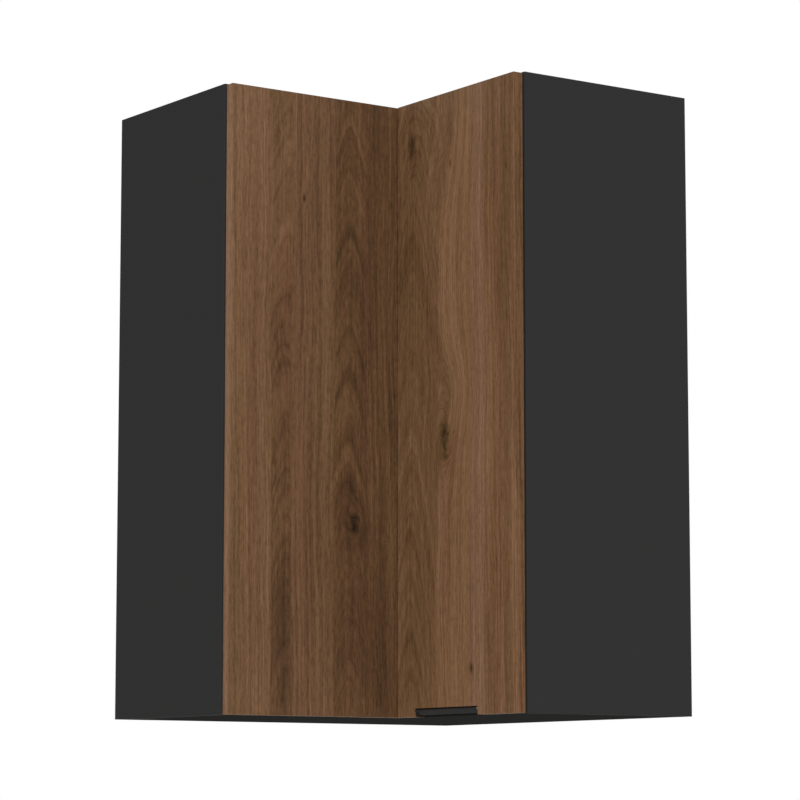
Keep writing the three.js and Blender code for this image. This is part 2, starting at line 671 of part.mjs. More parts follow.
// A curved channel about the swing axis with a round nose inside the cup. It starts
// just clear of the end panel, which cuts its tail.
function curvedLink({ outerRadius, halfWidth, web, cheek }) {
  const band = outerRadius - hinge.innerRadius;
  const middleRadius = hinge.innerRadius + band / 2;
  const noseHeight = hinge.cupFloor + band / 2 + CUP_FLOOR_CLEARANCE;
  const noseAngle = 180 - THREE.MathUtils.radToDeg(Math.asin(noseHeight / middleRadius));
  const heights = [-halfWidth, halfWidth];
  const noseTurn = THREE.MathUtils.degToRad(noseAngle);
  const noseAt = [middleRadius * Math.cos(noseTurn), middleRadius * Math.sin(noseTurn)];
  const whole = join([
    ringSector([hinge.innerRadius, outerRadius], [95, noseAngle], heights),
    bar('z', band / 2, heights, noseAt, ROUND_SIDES),
  ]);
  const reach = 4 * outerRadius;
  const tailCut = block([hinge.shy, reach], [-reach, reach], [-reach, reach]);
  if (!web) {
    return cut(whole, [tailCut]);
  }
  const hollow = [-(halfWidth - cheek), halfWidth - cheek];
  const room = join([
    ringSector([0.1, outerRadius - web], [80, 200], hollow),
    block([-outerRadius, outerRadius], [-outerRadius, 0], hollow),
  ]);
  return cut(whole, [tailCut, room]);
}

function hingeLink(name, order) {
  const sizes = linkSizes(order);
  const channel = order < LINK_COUNT ? { web: LINK_WEB, cheek: LINK_CHEEK } : {};
  return asMesh(name, curvedLink({ ...sizes, ...channel }), 'nickel');
}

function armSizes() {
  const outermost = linkSizes(1);
  return {
    outerRadius: outermost.outerRadius + LINK_CLEARANCE + ARM_SHEET,
    halfWidth: outermost.halfWidth + LINK_CLEARANCE + ARM_SHEET,
  };
}

// The arm is a folded channel over the mounting plate's rail. Its front end curves
// into the cup, and two adjusting screws sit in its back.
function hingeArm(name) {
  const { outerRadius, halfWidth } = armSizes();
  const nose = curvedLink({ outerRadius, halfWidth, web: ARM_SHEET, cheek: ARM_SHEET });
  const back = -outerRadius;
  const start = Math.sqrt(outerRadius ** 2 - (outerRadius - ARM_SHEET) ** 2) + 0.2;
  const inner = halfWidth - ARM_SHEET;
  const railClear = hinge.panelInside - PLATE_THICKNESS - BORE_PLAY;
  const body = block([back, railClear], [start, ARM_END - AXIS_FROM_DOOR_FACE], [-halfWidth, halfWidth]);
  const inside = block([back + ARM_SHEET, 0], [0, ARM_END], [-inner, inner]);
  const channelStart = hinge.panelFront + PLATE_FROM_FRONT - ARM_BEFORE_PLATE;
  const frontTrim = block([hinge.shy, 0], [0, channelStart], [-halfWidth, halfWidth]);
  const screwPlaces = ARM_SCREWS_FROM_END.map((distance) => channelStart + distance);
  const screws = screwPlaces.map((y) => bar('x', ARM_SCREW_RADIUS,
    [back - ARM_SCREW_PROUD, back + SUNK], [y, 0]));
  const drives = screwPlaces.map((y) => block([back - PAST, back - ARM_SCREW_PROUD / 2],
    [y - DRIVE_LENGTH / 2, y + DRIVE_LENGTH / 2], [-DRIVE_WIDTH / 2, DRIVE_WIDTH / 2]));
  const channel = cut(body, [inside, frontTrim]);
  return asMesh(name, cut(join([nose, channel, ...screws]), drives), 'nickel');
}

// The plate screwed to the end panel: a cross of two wings and the rail the arm clips to.
function mountingPlate(name) {
  const { outerRadius, halfWidth } = armSizes();
  const start = hinge.panelFront + PLATE_FROM_FRONT;
  const end = start + PLATE_LENGTH;
  const face = hinge.panelInside;
  const middle = (start + end) / 2;
  const wing = asSolid(new THREE.ExtrudeGeometry(
    roundedRectangle([middle - PLATE_WING_WIDTH / 2, middle + PLATE_WING_WIDTH / 2],
      [-PLATE_SPAN / 2, PLATE_SPAN / 2], PLATE_WING_RADIUS),
    { depth: PLATE_THICKNESS, bevelEnabled: false, curveSegments: 5 },
  ).rotateY(Math.PI / 2).rotateX(Math.PI / 2).translate(face - PLATE_THICKNESS, 0, 0));
  const railHalf = halfWidth - ARM_SHEET - BORE_PLAY;
  const railTop = -outerRadius + ARM_SHEET + BORE_PLAY;
  const rail = block([railTop, face], [start, end], [-railHalf, railHalf]);
  const channel = block([railTop - PAST, railTop + RAIL_CHANNEL_DEPTH],
    [start + RAIL_CHANNEL_FROM_END, end - RAIL_CHANNEL_FROM_END], [-railHalf / 2, railHalf / 2]);
  const screws = [-1, 1].map((sign) => bar('x', SCREW_HEAD_RADIUS,
    [face - PLATE_THICKNESS - PLATE_SCREW_PROUD, face - PLATE_THICKNESS / 2],
    [middle, sign * PLATE_SCREW_SPACING / 2], ROUND_SIDES));
  return asMesh(name, cut(join([wing, rail, ...screws]), [channel]), 'nickel');
}

// The cup sits in its bore in the leaf, with a flange and two screws on the back.
function hingeCup(name) {
  const { doorBack: back, cupCentre } = hinge;
  const floor = back - CUP_DEPTH;
  const outer = bar('y', CUP_RADIUS, [floor, back + CUP_FLANGE], [cupCentre, 0], CUP_SIDES);
  const hollow = bar('y', CUP_RADIUS - CUP_WALL, [floor + CUP_WALL, back + 2 * CUP_FLANGE],
    [cupCentre, 0], CUP_SIDES);
  const flangeFrom = cupCentre - CUP_SCREW_OFFSET - CUP_FLANGE_WIDTH / 2;
  const flange = asSolid(new THREE.ExtrudeGeometry(
    roundedRectangle([flangeFrom, flangeFrom + CUP_FLANGE_WIDTH],
      [-CUP_FLANGE_SPAN / 2, CUP_FLANGE_SPAN / 2], CUP_FLANGE_RADIUS),
    { depth: CUP_FLANGE, bevelEnabled: false, curveSegments: 5 },
  ).rotateX(Math.PI / 2).translate(0, back + CUP_FLANGE, 0));
  const screws = [-1, 1].map((sign) => bar('y', CUP_SCREW_RADIUS,
    [back + CUP_FLANGE / 2, back + CUP_FLANGE + PAST],
    [cupCentre - CUP_SCREW_OFFSET, sign * CUP_SCREW_SPACING / 2], ROUND_SIDES));
  return asMesh(name, cut(join([outer, flange, ...screws]), [hollow]), 'nickel');
}

function carcassHinges() {
  return hingeHeights.map((height, index) => {
    const label = index === 0 ? 'lower' : 'upper';
    const group = new THREE.Group();
    group.add(
      mountingPlate(`${label}_hinge_plate`),
      hingeArm(`${label}_hinge_arm`),
      hingeCup(`${label}_hinge_cup`),
    );
    for (let order = 1; order <= LINK_COUNT; order += 1) {
      group.add(hingeLink(`${label}_hinge_link_${order}`, order));
    }
    return placed(group, hingeAxis.x, hingeAxis.y, height);
  });
}

// ---------------------------------------------------------------- fold hinges

// Built about the fold axis: two outer knuckles on the right-hand wing, one middle
// knuckle on the left-hand wing, and a headed pin through all three.
function foldHinge(label) {
  const doorBackY = -doorBack - foldAxis.y;
  const rightEdge = foldEdgeRight - foldAxis.x;
  const leftEdgeY = foldEdgeLeft - foldAxis.y;
  const leftBackX = doorBack - foldAxis.x;
  const half = KNUCKLE_LENGTH / 2;
  const outerEnd = half + KNUCKLE_LENGTH + KNUCKLE_PLAY;
  const wingHalf = WING_HEIGHT / 2;
  const screwPitch = wingHalf * WING_SCREW_HEIGHT_SHARE;
  const bore = bar('z', FOLD_PIN_RADIUS + FOLD_PIN_PLAY, [-wingHalf, wingHalf], [0, 0], KNUCKLE_SIDES);
  const knuckle = (from, to) => bar('z', KNUCKLE_RADIUS, [from, to], [0, 0], KNUCKLE_SIDES);

  const rightParts = [-1, 1].flatMap((sign) => {
    const reach = [sign * (half + KNUCKLE_PLAY), sign * outerEnd];
    const ordered = reach.sort((a, b) => a - b);
    return [
      knuckle(...ordered),
      block([0, rightEdge + 1], [doorBackY, doorBackY + WING_SHEET], ordered),
    ];
  });
  const rightPlate = block([rightEdge, rightEdge + WING_LENGTH], [doorBackY, doorBackY + WING_SHEET],
    [-wingHalf, wingHalf]);
  const rightScrews = [-1, 1].map((sign) => bar('y', WING_SCREW_RADIUS,
    [doorBackY + WING_SHEET - SUNK, doorBackY + WING_SHEET + WING_SCREW_PROUD],
    [rightEdge + WING_LENGTH * WING_SCREW_SHARE, sign * screwPitch]));
  const rightWing = cut(join([...rightParts, rightPlate, ...rightScrews]), [bore]);

  const endSheet = doorBackY - leftEdgeY - WING_PLAY;
  const leftSheetX = leftBackX - WING_SHEET;
  const endPlate = block([leftSheetX, 2], [leftEdgeY, leftEdgeY + endSheet], [-wingHalf, wingHalf]);
  const backPlate = block([leftSheetX, leftBackX], [leftEdgeY - WING_LENGTH, leftEdgeY + endSheet],
    [-wingHalf, wingHalf]);
  const neck = block([-KNUCKLE_RADIUS, 2], [leftEdgeY, 0], [-half, half]);
  const leftScrews = [-1, 1].map((sign) => bar('x', WING_SCREW_RADIUS,
    [leftSheetX - WING_SCREW_PROUD, leftSheetX + SUNK],
    [leftEdgeY - WING_LENGTH * WING_SCREW_SHARE, sign * screwPitch]));
  const leftWing = cut(join([knuckle(-half, half), neck, endPlate, backPlate, ...leftScrews]), [bore]);

  const pinEnd = outerEnd + FOLD_PIN_END;
  const head = (from, to) => bar('z', FOLD_PIN_HEAD_RADIUS, [from, to], [0, 0], KNUCKLE_SIDES);
  const pin = join([
    bar('z', FOLD_PIN_RADIUS, [-pinEnd, pinEnd], [0, 0], KNUCKLE_SIDES),
    head(pinEnd, pinEnd + FOLD_PIN_HEAD),
    head(-pinEnd - FOLD_PIN_HEAD, -pinEnd),
  ]);
  return [
    asMesh(`${label}_fold_hinge_right_wing`, rightWing, 'nickel'),
    asMesh(`${label}_fold_hinge_left_wing`, leftWing, 'nickel'),
    asMesh(`${label}_fold_hinge_pin`, pin, 'nickel'),
  ];
}

function foldHinges() {
  return foldHingeHeights.map((height, index) => {
    const group = new THREE.Group();
    group.add(...foldHinge(index === 0 ? 'lower' : 'upper'));
    return placed(group, foldAxis.x, foldAxis.y, height);
  });
}

// ---------------------------------------------------------------- the cabinet

const cabinet = new THREE.Group();
cabinet.name = 'corner_wall_cabinet';
cabinet.add(
  leftEndPanel(),
  rightEndPanel(),
  deckPanel('bottom_panel', camDecks[0]),
  deckPanel('top_panel', camDecks[1]),
  ...cornerPosts(),
  ...backBoards(),
  shelvesAndPins(),
  ...camLocks(),
  ...hangers(),
  leftDoor(),
  rightDoor(),
  fingerPull(),
  ...pullScrews(),
  ...buffers(),
  ...carcassHinges(),
  ...foldHinges(),
);

export default cabinet;
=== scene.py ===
# %% [markdown]
# # A corner wall cabinet with a folding walnut door
#
# The cabinet hangs in the corner of a kitchen. Its carcass is black melamine board and
# its two door leaves are board with a printed walnut decor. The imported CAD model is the
# fixed frame: it gives every place and size, and this lesson only adds the looks. The
# boards could be modelled anew here, but then they might drift from the ones that move.

# %% Load the frame
import json
import math

import bmesh
import bpy
from mathutils import Matrix, Vector


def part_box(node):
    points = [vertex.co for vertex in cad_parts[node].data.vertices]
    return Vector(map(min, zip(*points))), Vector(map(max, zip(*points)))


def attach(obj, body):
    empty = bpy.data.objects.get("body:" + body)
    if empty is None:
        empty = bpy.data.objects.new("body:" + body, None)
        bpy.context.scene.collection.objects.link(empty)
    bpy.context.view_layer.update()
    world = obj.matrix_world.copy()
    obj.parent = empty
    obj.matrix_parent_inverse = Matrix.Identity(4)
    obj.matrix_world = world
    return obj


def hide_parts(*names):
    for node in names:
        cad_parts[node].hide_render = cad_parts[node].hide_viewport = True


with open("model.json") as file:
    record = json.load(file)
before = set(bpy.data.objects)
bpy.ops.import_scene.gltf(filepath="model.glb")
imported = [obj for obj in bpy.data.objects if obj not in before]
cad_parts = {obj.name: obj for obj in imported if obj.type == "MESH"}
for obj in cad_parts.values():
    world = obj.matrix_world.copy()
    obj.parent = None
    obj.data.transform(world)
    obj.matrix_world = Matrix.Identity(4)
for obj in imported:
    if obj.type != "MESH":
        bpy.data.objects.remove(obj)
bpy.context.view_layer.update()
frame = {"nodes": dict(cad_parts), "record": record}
nodes = frame["nodes"]

# %% [markdown]
# ## Camera
#
# The camera stands a little below the cabinet and looks slightly up at the inner corner
# of the door. A long lens keeps the upright edges nearly parallel. It could be aimed with
# a constraint, but a plain position and turn are easier to read and to keep.

# %% Camera
CAMERA_PLACE = (4.0453, -2.9234, -0.1317)
CAMERA_TILT_DEGREES = 97.43
CAMERA_TURN_DEGREES = 54.97
LENS_MM = 141.4
SENSOR_MM = 36

scene = bpy.context.scene
camera = bpy.data.objects.new("camera", bpy.data.cameras.new("camera"))
camera.data.lens = LENS_MM
camera.data.sensor_width = SENSOR_MM
camera.location = CAMERA_PLACE
camera.rotation_euler = (math.radians(CAMERA_TILT_DEGREES), 0, math.radians(CAMERA_TURN_DEGREES))
scene.collection.objects.link(camera)
scene.camera = camera
scene.view_settings.view_transform = "Standard"
print("Camera at", CAMERA_PLACE, "with a", LENS_MM, "mm lens")

# %% [markdown]
# ## Colours and nodes
#
# Colours are written as the hex values that a paint chart would give. Blender works in
# linear light, so one function turns them over. A second small function adds a shader
# node: an input is either a value or the output of another node, which it then links. A
# Mix node keeps one pair of inputs for numbers, one for vectors and one for colours, and
# an output for each, so those sockets get names here.


# %% Helpers for colours and nodes
def linear(hex_colour):
    """The linear colour, with alpha, of an sRGB hex value such as 0x6b4d37."""
    channels = [(hex_colour >> shift & 255) / 255 for shift in (16, 8, 0)]
    return tuple(c / 12.92 if c <= 0.04045 else ((c + 0.055) / 1.055) ** 2.4
                 for c in channels) + (1.0,)


def add(tree, kind, inputs=(), out=0, stops=(), **settings):
    """Adds a shader node and returns one of its outputs, or all of them if out is None.

    inputs: a list in the node's own order, or a dict where only some are given.
    stops: the positions and hex colours of a colour ramp.
    """
    made = tree.nodes.new("ShaderNode" + kind)
    for name, value in settings.items():
        setattr(made, name, value)
    for key, value in inputs.items() if isinstance(inputs, dict) else enumerate(inputs):
        if isinstance(value, bpy.types.NodeSocket):
            tree.links.new(value, made.inputs[key])
        else:
            made.inputs[key].default_value = value
    for number, (position, colour) in enumerate(stops):
        if number >= len(made.color_ramp.elements):
            made.color_ramp.elements.new(position)
        made.color_ramp.elements[number].position = position
        made.color_ramp.elements[number].color = linear(colour)
    return made.outputs if out is None else made.outputs[out]


FACTOR = 0
NUMBER_A, NUMBER_B = 2, 3
VECTOR_A, VECTOR_B = 4, 5
COLOUR_A, COLOUR_B = 6, 7
# The setting that makes a Mix node one of vectors or of colours, and its output for them.
OF_VECTORS = {"data_type": "VECTOR", "out": 1}
OF_COLOURS = {"data_type": "RGBA", "out": 2}
print("Anthracite 0x303030 is", [round(c, 4) for c in linear(0x303030)], "in linear light")

# %% [markdown]
# Every finish here is one Principled shader, whose sockets take a plain number where the
# surface is even, and a pattern of nodes where it isn't. Single shaders for gloss and for
# dull light could be mixed by hand, but this one balances them already. Many patterns are
# tied to real millimetres, so the length of one is kept in metres, as Blender measures.

# %% Materials and real sizes
MM = 0.001


def new_material(name, **shader_values):
    """A material with a Principled shader. Returns it, its node tree and the shader."""
    material = bpy.data.materials.new(name)
    material.use_nodes = True
    shader = material.node_tree.nodes["Principled BSDF"]
    for key, value in shader_values.items():
        shader.inputs[key.replace("_", " ")].default_value = value
    return material, material.node_tree, shader


def wire(tree, shader, **patterns):
    """Leads each pattern to the shader's socket of that name."""
    for key, value in patterns.items():
        tree.links.new(value, shader.inputs[key.replace("_", " ")])


def paint(material, *names):
    """Gives the CAD nodes of these names one material."""
    for name in names:
        slots = nodes[name].data.materials
        slots.clear()
        slots.append(material)


print("One millimetre is", MM, "m")

# %% [markdown]
# ## Light and background
#
# The light is plain and soft: an even pale surrounding, a broad sun over the camera's
# shoulder, and a weaker one from behind so that the back isn't lost in the dark. Together
# they light a wall at about 1, so a colour renders about as it is written. The camera,
# and any gloss or glass, sees the surroundings as white. Area lamps would do as well, but
# their light falls off with distance, and then each side would need a lamp of its own.

# %% Surroundings
AMBIENT_STRENGTH = 0.47
WHITE_STRENGTH = 1.0
BACKGROUND = linear(0xFFFFFF)

world = bpy.data.worlds.new("pale_studio")
world.use_nodes = True
scene.world = world
tree = world.node_tree
tree.nodes.clear()
ray = add(tree, "LightPath", out=None)
seen = add(tree, "Math", [ray["Is Camera Ray"], ray["Is Glossy Ray"]], operation="MAXIMUM")
seen = add(tree, "Math", [seen, ray["Is Transmission Ray"]], operation="MAXIMUM")
ambient = add(tree, "Background", [BACKGROUND, AMBIENT_STRENGTH])
white = add(tree, "Background", [BACKGROUND, WHITE_STRENGTH])
add(tree, "OutputWorld", [add(tree, "MixShader", [seen, ambient, white])], out=None)
print("The surroundings light the object at", AMBIENT_STRENGTH)

# %% [markdown]
# A sun is a lamp so far off that its light falls at one angle everywhere. Its softness is
# the angle that it fills in the sky, so a wide one gives the soft shadows of a window. Its
# turn is measured from the X axis and its height from the horizon.

# %% Suns
SUNS = {
    "key_sun": {"turn": -37.0, "height": 35.0, "strength": 3.0, "softness": 40.0},
    "back_sun": {"turn": 135.0, "height": 40.0, "strength": 1.6, "softness": 60.0},
}

for name, sun in SUNS.items():
    light = bpy.data.lights.new(name, "SUN")
    light.energy = sun["strength"]
    light.angle = math.radians(sun["softness"])
    lamp = bpy.data.objects.new(name, light)
    lamp.rotation_euler = (math.radians(90 - sun["height"]), 0, math.radians(90 + sun["turn"]))
    scene.collection.objects.link(lamp)
    print(name, "has strength", sun["strength"])

# %% [markdown]
# The cabinet hangs at eye height, so the floor lies 1.4 m below it. It is a smooth floor
# with pale matt paint. A roller leaves a fine stipple and a slightly uneven tone, which
# the eye reads as a soft, dull sheen. To model a stipple would take millions of faces, so
# a bump pattern stands for it. The floor is a stage and no part of the cabinet.

# %% Floor
FLOOR_HEIGHT = -1.4
FLOOR_HALF_WIDTH = 7.0
FLOOR_COLOURS = [(0.3, 0xC1BFBC), (0.7, 0xC7C5C2)]
CLOUD_MM = 300.0
STIPPLE_MM = 3.0

plane = bmesh.new()
bmesh.ops.create_grid(plane, x_segments=1, y_segments=1, size=FLOOR_HALF_WIDTH)
bmesh.ops.translate(plane, verts=plane.verts, vec=(0, 0, FLOOR_HEIGHT))
floor = bpy.data.objects.new("floor", bpy.data.meshes.new("floor"))
plane.to_mesh(floor.data)
plane.free()
scene.collection.objects.link(floor)

floor_paint, tree, shader = new_material("matt_floor_paint", Specular_IOR_Level=0.1)
place = add(tree, "TexCoord", out="Object")
cloud = add(tree, "TexNoise", {"Vector": place, "Scale": 1000 / CLOUD_MM, "Detail": 3.0})
stipple = add(tree, "TexNoise", {"Vector": place, "Scale": 1000 / STIPPLE_MM})
wire(tree, shader,
     Base_Color=add(tree, "ValToRGB", [cloud], stops=FLOOR_COLOURS),
     Roughness=add(tree, "MapRange", {"Value": stipple, "To Min": 0.86, "To Max": 0.94}),
     Normal=add(tree, "Bump", {"Strength": 0.1, "Distance": 0.1 * MM, "Height": stipple}))
floor.data.materials.append(floor_paint)
print("The floor lies", -FLOOR_HEIGHT, "m below the cabinet's underside")

# %% [markdown]
# ## Walnut decor
#
# The leaves are board faced with a printed walnut decor under melamine resin, pressed
# with a faint pore. The eye reads it by its planks: each was cut at its own distance from
# the heart of the tree. A plank cut near the heart shows rings as pointed arches, and one
# cut far from it shows upright lines. The resin gives it a low, even sheen.
#
# An image would be quicker, but a pattern made of nodes has no seams and goes on round
# the edges. It reads Object coordinates in metres. Two patterns are used all through: a
# soft spot that marks a place, and a grain that is stretched along the wood.

# %% Spots and stretched grain
WOOD_COLOURS = [(0.0, 0x20150D), (0.2, 0x3A281A), (0.4, 0x523A26), (0.5, 0x60452E),
                (0.6, 0x6B4E36), (0.75, 0x7D5E45), (1.0, 0x96765B)]


def spot(tree, point, centre, size):
    """1 at the centre and 0 a few sizes away. Also gives the offset from the centre."""
    scale = (1 / size[0], 1 / size[1], 0)
    shift = (-centre[0] / size[0], -centre[1] / size[1], 0)
    offset = add(tree, "VectorMath", [point, scale, shift], operation="MULTIPLY_ADD")
    square = add(tree, "VectorMath", [offset, offset], out="Value", operation="DOT_PRODUCT")
    return add(tree, "Math", [1 / math.e, square], operation="POWER"), offset


def grain(tree, point, width, length, detail=2.0, roughness=0.5):
    """Grain of this width across the board and this length along it."""
    stretched = add(tree, "VectorMath", [point, (1 / width, 1 / length, 1)],
                    operation="MULTIPLY")
    return add(tree, "TexNoise", {"Vector": stretched, "Scale": 1.0, "Detail": detail,
                                  "Roughness": roughness}, noise_dimensions="2D")


print("Walnut runs from", hex(WOOD_COLOURS[0][1]), "to", hex(WOOD_COLOURS[-1][1]))

# %% [markdown]
# A print is flat, so it needs flat coordinates: one across the leaf and one up it. Where
# the leaf ends, its edge band carries the lines on round the corner, as a thicker board
# would. Adding the depth to the width does that for the upright edges. A test of which
# way the surface faces swaps in another pair for the top and bottom edges. An unwrapped
# UV map would do the same, but a CAD node's mesh isn't changed.

# %% Flat coordinates for a leaf
FACES_UP = 0.7


def board_point(tree, across_axis, depth_axis):
    """Across and up the leaf, carried round its edges, and the depth alone."""
    place = add(tree, "SeparateXYZ", [add(tree, "TexCoord", out="Object")], out=None)
    across, depth = place[across_axis], place[depth_axis]
    wrapped = add(tree, "Math", [across, depth], operation="ADD")
    upright = add(tree, "CombineXYZ", [wrapped, place["Z"]])
    level = add(tree, "CombineXYZ", [depth, across])
    turn = add(tree, "SeparateXYZ", [add(tree, "NewGeometry", out="True Normal")], out="Z")
    steepness = add(tree, "Math", [turn], operation="ABSOLUTE")
    is_level = add(tree, "Math", [steepness, FACES_UP], operation="GREATER_THAN")
    point = add(tree, "Mix", {FACTOR: is_level, VECTOR_A: upright, VECTOR_B: level}, **OF_VECTORS)
    return point, depth


print("A face whose normal rises by more than", FACES_UP, "is a level edge")

# %% [markdown]
# Fibres never run quite straight. They drift a few millimetres on their way up, and in
# places they swing wide where the tree once grew a branch nearby. The drift is grain, so
# it differs everywhere, and each swing is a spot, so it can be put where it belongs. Bent
# lines could be drawn by hand, but then knots, pores and streaks would each need them.

# %% Let the fibres wander
# How far each drift goes, and the width, the length and the detail of its grain.
SLOW_DRIFT, SLOW_GRAIN = 14 * MM, (143 * MM, 455 * MM, 1.0)
QUICK_DRIFT, QUICK_GRAIN = 6 * MM, (25 * MM, 125 * MM)


def wander(tree, point, swings):
    """How far the fibres stand to one side: by their swings, and by swings and drift."""
    swing = 0.0
    for centre, size, shift in swings:
        here, _ = spot(tree, point, centre, size)
        swing = add(tree, "Math", [here, shift, swing], operation="MULTIPLY_ADD")
    slow, quick = grain(tree, point, *SLOW_GRAIN), grain(tree, point, *QUICK_GRAIN)
    drift = add(tree, "Math", [slow, SLOW_DRIFT, -SLOW_DRIFT / 2], operation="MULTIPLY_ADD")
    drift = add(tree, "Math", [quick, QUICK_DRIFT, drift], operation="MULTIPLY_ADD")
    return swing, add(tree, "Math", [drift, swing], operation="ADD")


print("Fibres drift within", (SLOW_DRIFT + QUICK_DRIFT) / MM, "mm")

# %% [markdown]
# A knot is where a branch left the trunk. The fibres part round it, and its own wood is
# small, hard and dark. Pulling the point that is looked up towards the knot spreads the
# lines round it, which a dark spot painted on straight lines wouldn't do.

# %% Part the fibres round the knots
KNOT_REACH = 2.6
KNOT_DARKNESS = 1.9
# The width and length of the grain that breaks up a knot's own wood.
KNOT_GRAIN = 6.2 * MM, 17 * MM


def part_round_knots(tree, point, drift, knots):
    """The place in straight wood that each point shows, and how dark its knots are."""
    dark, push = 0.0, (0.0, 0.0, 0.0)
    rough = grain(tree, point, *KNOT_GRAIN)
    for centre, size, strength, darkness in knots:
        wide, offset = spot(tree, point, centre, [part * KNOT_REACH for part in size])
        aside = add(tree, "VectorMath", {"Vector": offset, "Scale": wide}, operation="SCALE")
        push = add(tree, "VectorMath", [aside, (-strength, 0, 0), push],
                   operation="MULTIPLY_ADD")
        heart, _ = spot(tree, point, centre, size)
        heart = add(tree, "Math", [heart, rough], operation="MULTIPLY")
        dark = add(tree, "Math", [heart, darkness * KNOT_DARKNESS, dark],
                   operation="MULTIPLY_ADD")
    bent = add(tree, "VectorMath", [point, add(tree, "CombineXYZ", [drift])], operation="ADD")
    return add(tree, "VectorMath", [bent, push], operation="ADD"), dark


print("A knot parts the fibres over", KNOT_REACH, "times its own size")

# %% [markdown]
# A trunk tapers, so its yearly rings are long cones. The ring number at a point is its
# distance from the heart line plus a part of its height, counted in ring widths. A plane
# cut through such cones shows arches near the heart and lines far from it, with no need
# to draw either. Each plank has its own heart, so the number jumps at the plank's edge.

# %% Count the yearly rings
PLANK_JOINT = 2 * MM


def count_rings(tree, bent, up, edge_place, planks):
    """The ring number, and its plank's (line strength, tone, hue) and saturation."""
    rings = None
    for plank in planks:
        away = add(tree, "VectorMath", [bent, (1, 0, 0), (-plank["heart"], plank["deep"], 0)],
                   operation="MULTIPLY_ADD")
        away = add(tree, "VectorMath", [away], out="Value", operation="LENGTH")
        away = add(tree, "Math", [up, plank["taper"], away], operation="MULTIPLY_ADD")
        number = add(tree, "Math", [away, 1 / plank["ring"]], operation="MULTIPLY")
        look = (plank["lines"], plank["tone"], plank["hue"])
        if rings is None:
            rings, looks, saturation = number, look, plank["saturation"]
            continue
        side = add(tree, "MapRange", [edge_place, plank["from"] - PLANK_JOINT,
                                      plank["from"] + PLANK_JOINT])
        rings = add(tree, "Mix", {FACTOR: side, NUMBER_A: rings, NUMBER_B: number})
        looks = add(tree, "Mix", {FACTOR: side, VECTOR_A: looks, VECTOR_B: look}, **OF_VECTORS)
        saturation = add(tree, "Mix", {FACTOR: side, NUMBER_A: saturation,
                                       NUMBER_B: plank["saturation"]})
    return rings, looks, saturation


print("Planks meet within", 2 * PLANK_JOINT / MM, "mm")

# %% [markdown]
# A year of growth shows as a pale band that ends in a thin dark line of late wood. Good
# and bad years come in groups, so whole groups of rings are darker or lighter, and a few
# arches stand out. All of these are read off the ring number, so they follow the rings:
# their grain has its width in rings, its length in metres, a detail and a roughness.

# %% Draw what the rings show
GROUP_GRAIN = (3.33, 1.25, 3.0, 0.65)
UNEVEN_GRAIN, UNEVENNESS = (2.86, 0.25, 1.0), 2.2
PATCH_GRAIN, PATCH_RANGE = (8.33, 0.2), (0.35, 0.65)
LINE_SHARPNESS = 3.0
# An arch is darkest below its tip, by this part of its length.
ARCH_SINKS = 0.4


def ring_marks(tree, rings, up, lines, planks, arches):
    """The shade of groups of rings, their late-wood lines, and the arches that stand out."""
    place = add(tree, "CombineXYZ", [rings, up])
    groups = grain(tree, place, *GROUP_GRAIN)
    uneven = grain(tree, place, *UNEVEN_GRAIN)
    line = add(tree, "Math", [uneven, UNEVENNESS, rings], operation="MULTIPLY_ADD")
    line = add(tree, "Math", [line, 1.0], operation="PINGPONG")
    line = add(tree, "Math", [line, LINE_SHARPNESS], operation="POWER")
    patchy = add(tree, "MapRange", [grain(tree, place, *PATCH_GRAIN), *PATCH_RANGE])
    line = add(tree, "Math", [line, patchy], operation="MULTIPLY")
    line = add(tree, "Math", [line, lines], operation="MULTIPLY")
    arch = 0.0
    for number, tip, thickness, length, darkness in arches:
        plank = planks[number]
        ring = (plank["deep"] + plank["taper"] * tip) / plank["ring"]
        here, _ = spot(tree, place, (ring, tip - length * ARCH_SINKS),
                       (thickness * plank["taper"] / plank["ring"], length))
        arch = add(tree, "Math", [here, darkness, arch], operation="MULTIPLY_ADD")
    return {"groups": groups, "lines": line, "arches": arch}


print("Ring groups are about", GROUP_GRAIN[0], "rings wide")

# %% [markdown]
# Between the rings lie the fibres. Broad shades and narrow streaks run along the board,
# and short pores lie between them. Real pores are 0.2 mm wide, which is finer than a pixel
# of the picture, so here they are drawn about ten times as wide. One noise could carry
# all of these, but then they would gather in the same places, so each has its own.

# %% Draw the fibres
# The width and length of each mark's grain, its detail and its roughness.
FIBRE_GRAIN = {
    "shades": (55 * MM, 420 * MM, 3.0),
    "streaks": (6.7 * MM, 625 * MM, 3.0, 0.65),
    "fibres": (2.8 * MM, 48 * MM, 2.0, 0.6),
    "pores": (3.4 * MM, 14 * MM, 3.0, 0.8),
}
PORE_RANGE = 0.42, 0.70


def fibre_marks(tree, bent):
    """Broad shades, streaks and fibres, and pores, of which only the peaks are left."""
    marks = {mark: grain(tree, bent, *sizes) for mark, sizes in FIBRE_GRAIN.items()}
    marks["pores"] = add(tree, "MapRange", [marks["pores"], *PORE_RANGE])
    return marks


# What each mark adds to the tone, and the value at which it adds nothing.
MARKS = {"groups": (0.34, 0.5), "streaks": (0.24, 0.5), "fibres": (0.26, 0.5),
         "shades": (0.16, 0.5), "pores": (-0.13, 0.38), "lines": (-0.11, 0.1),
         "arches": (-1.0, 0.0), "knots": (-0.40, 0.0)}
print("The marks on a plank are its", ", ".join(MARKS))

# %% [markdown]
# Board that was sawn and not edged shows its core. Rather than pick such faces out one by
# one, a test asks of each point whether it lies on any of the planes that the board was
# faced on. What lies on none of them, as in a notch, a groove or a bore, was cut. The
# planes are sides of the board's own box, so they are measured off the CAD node.


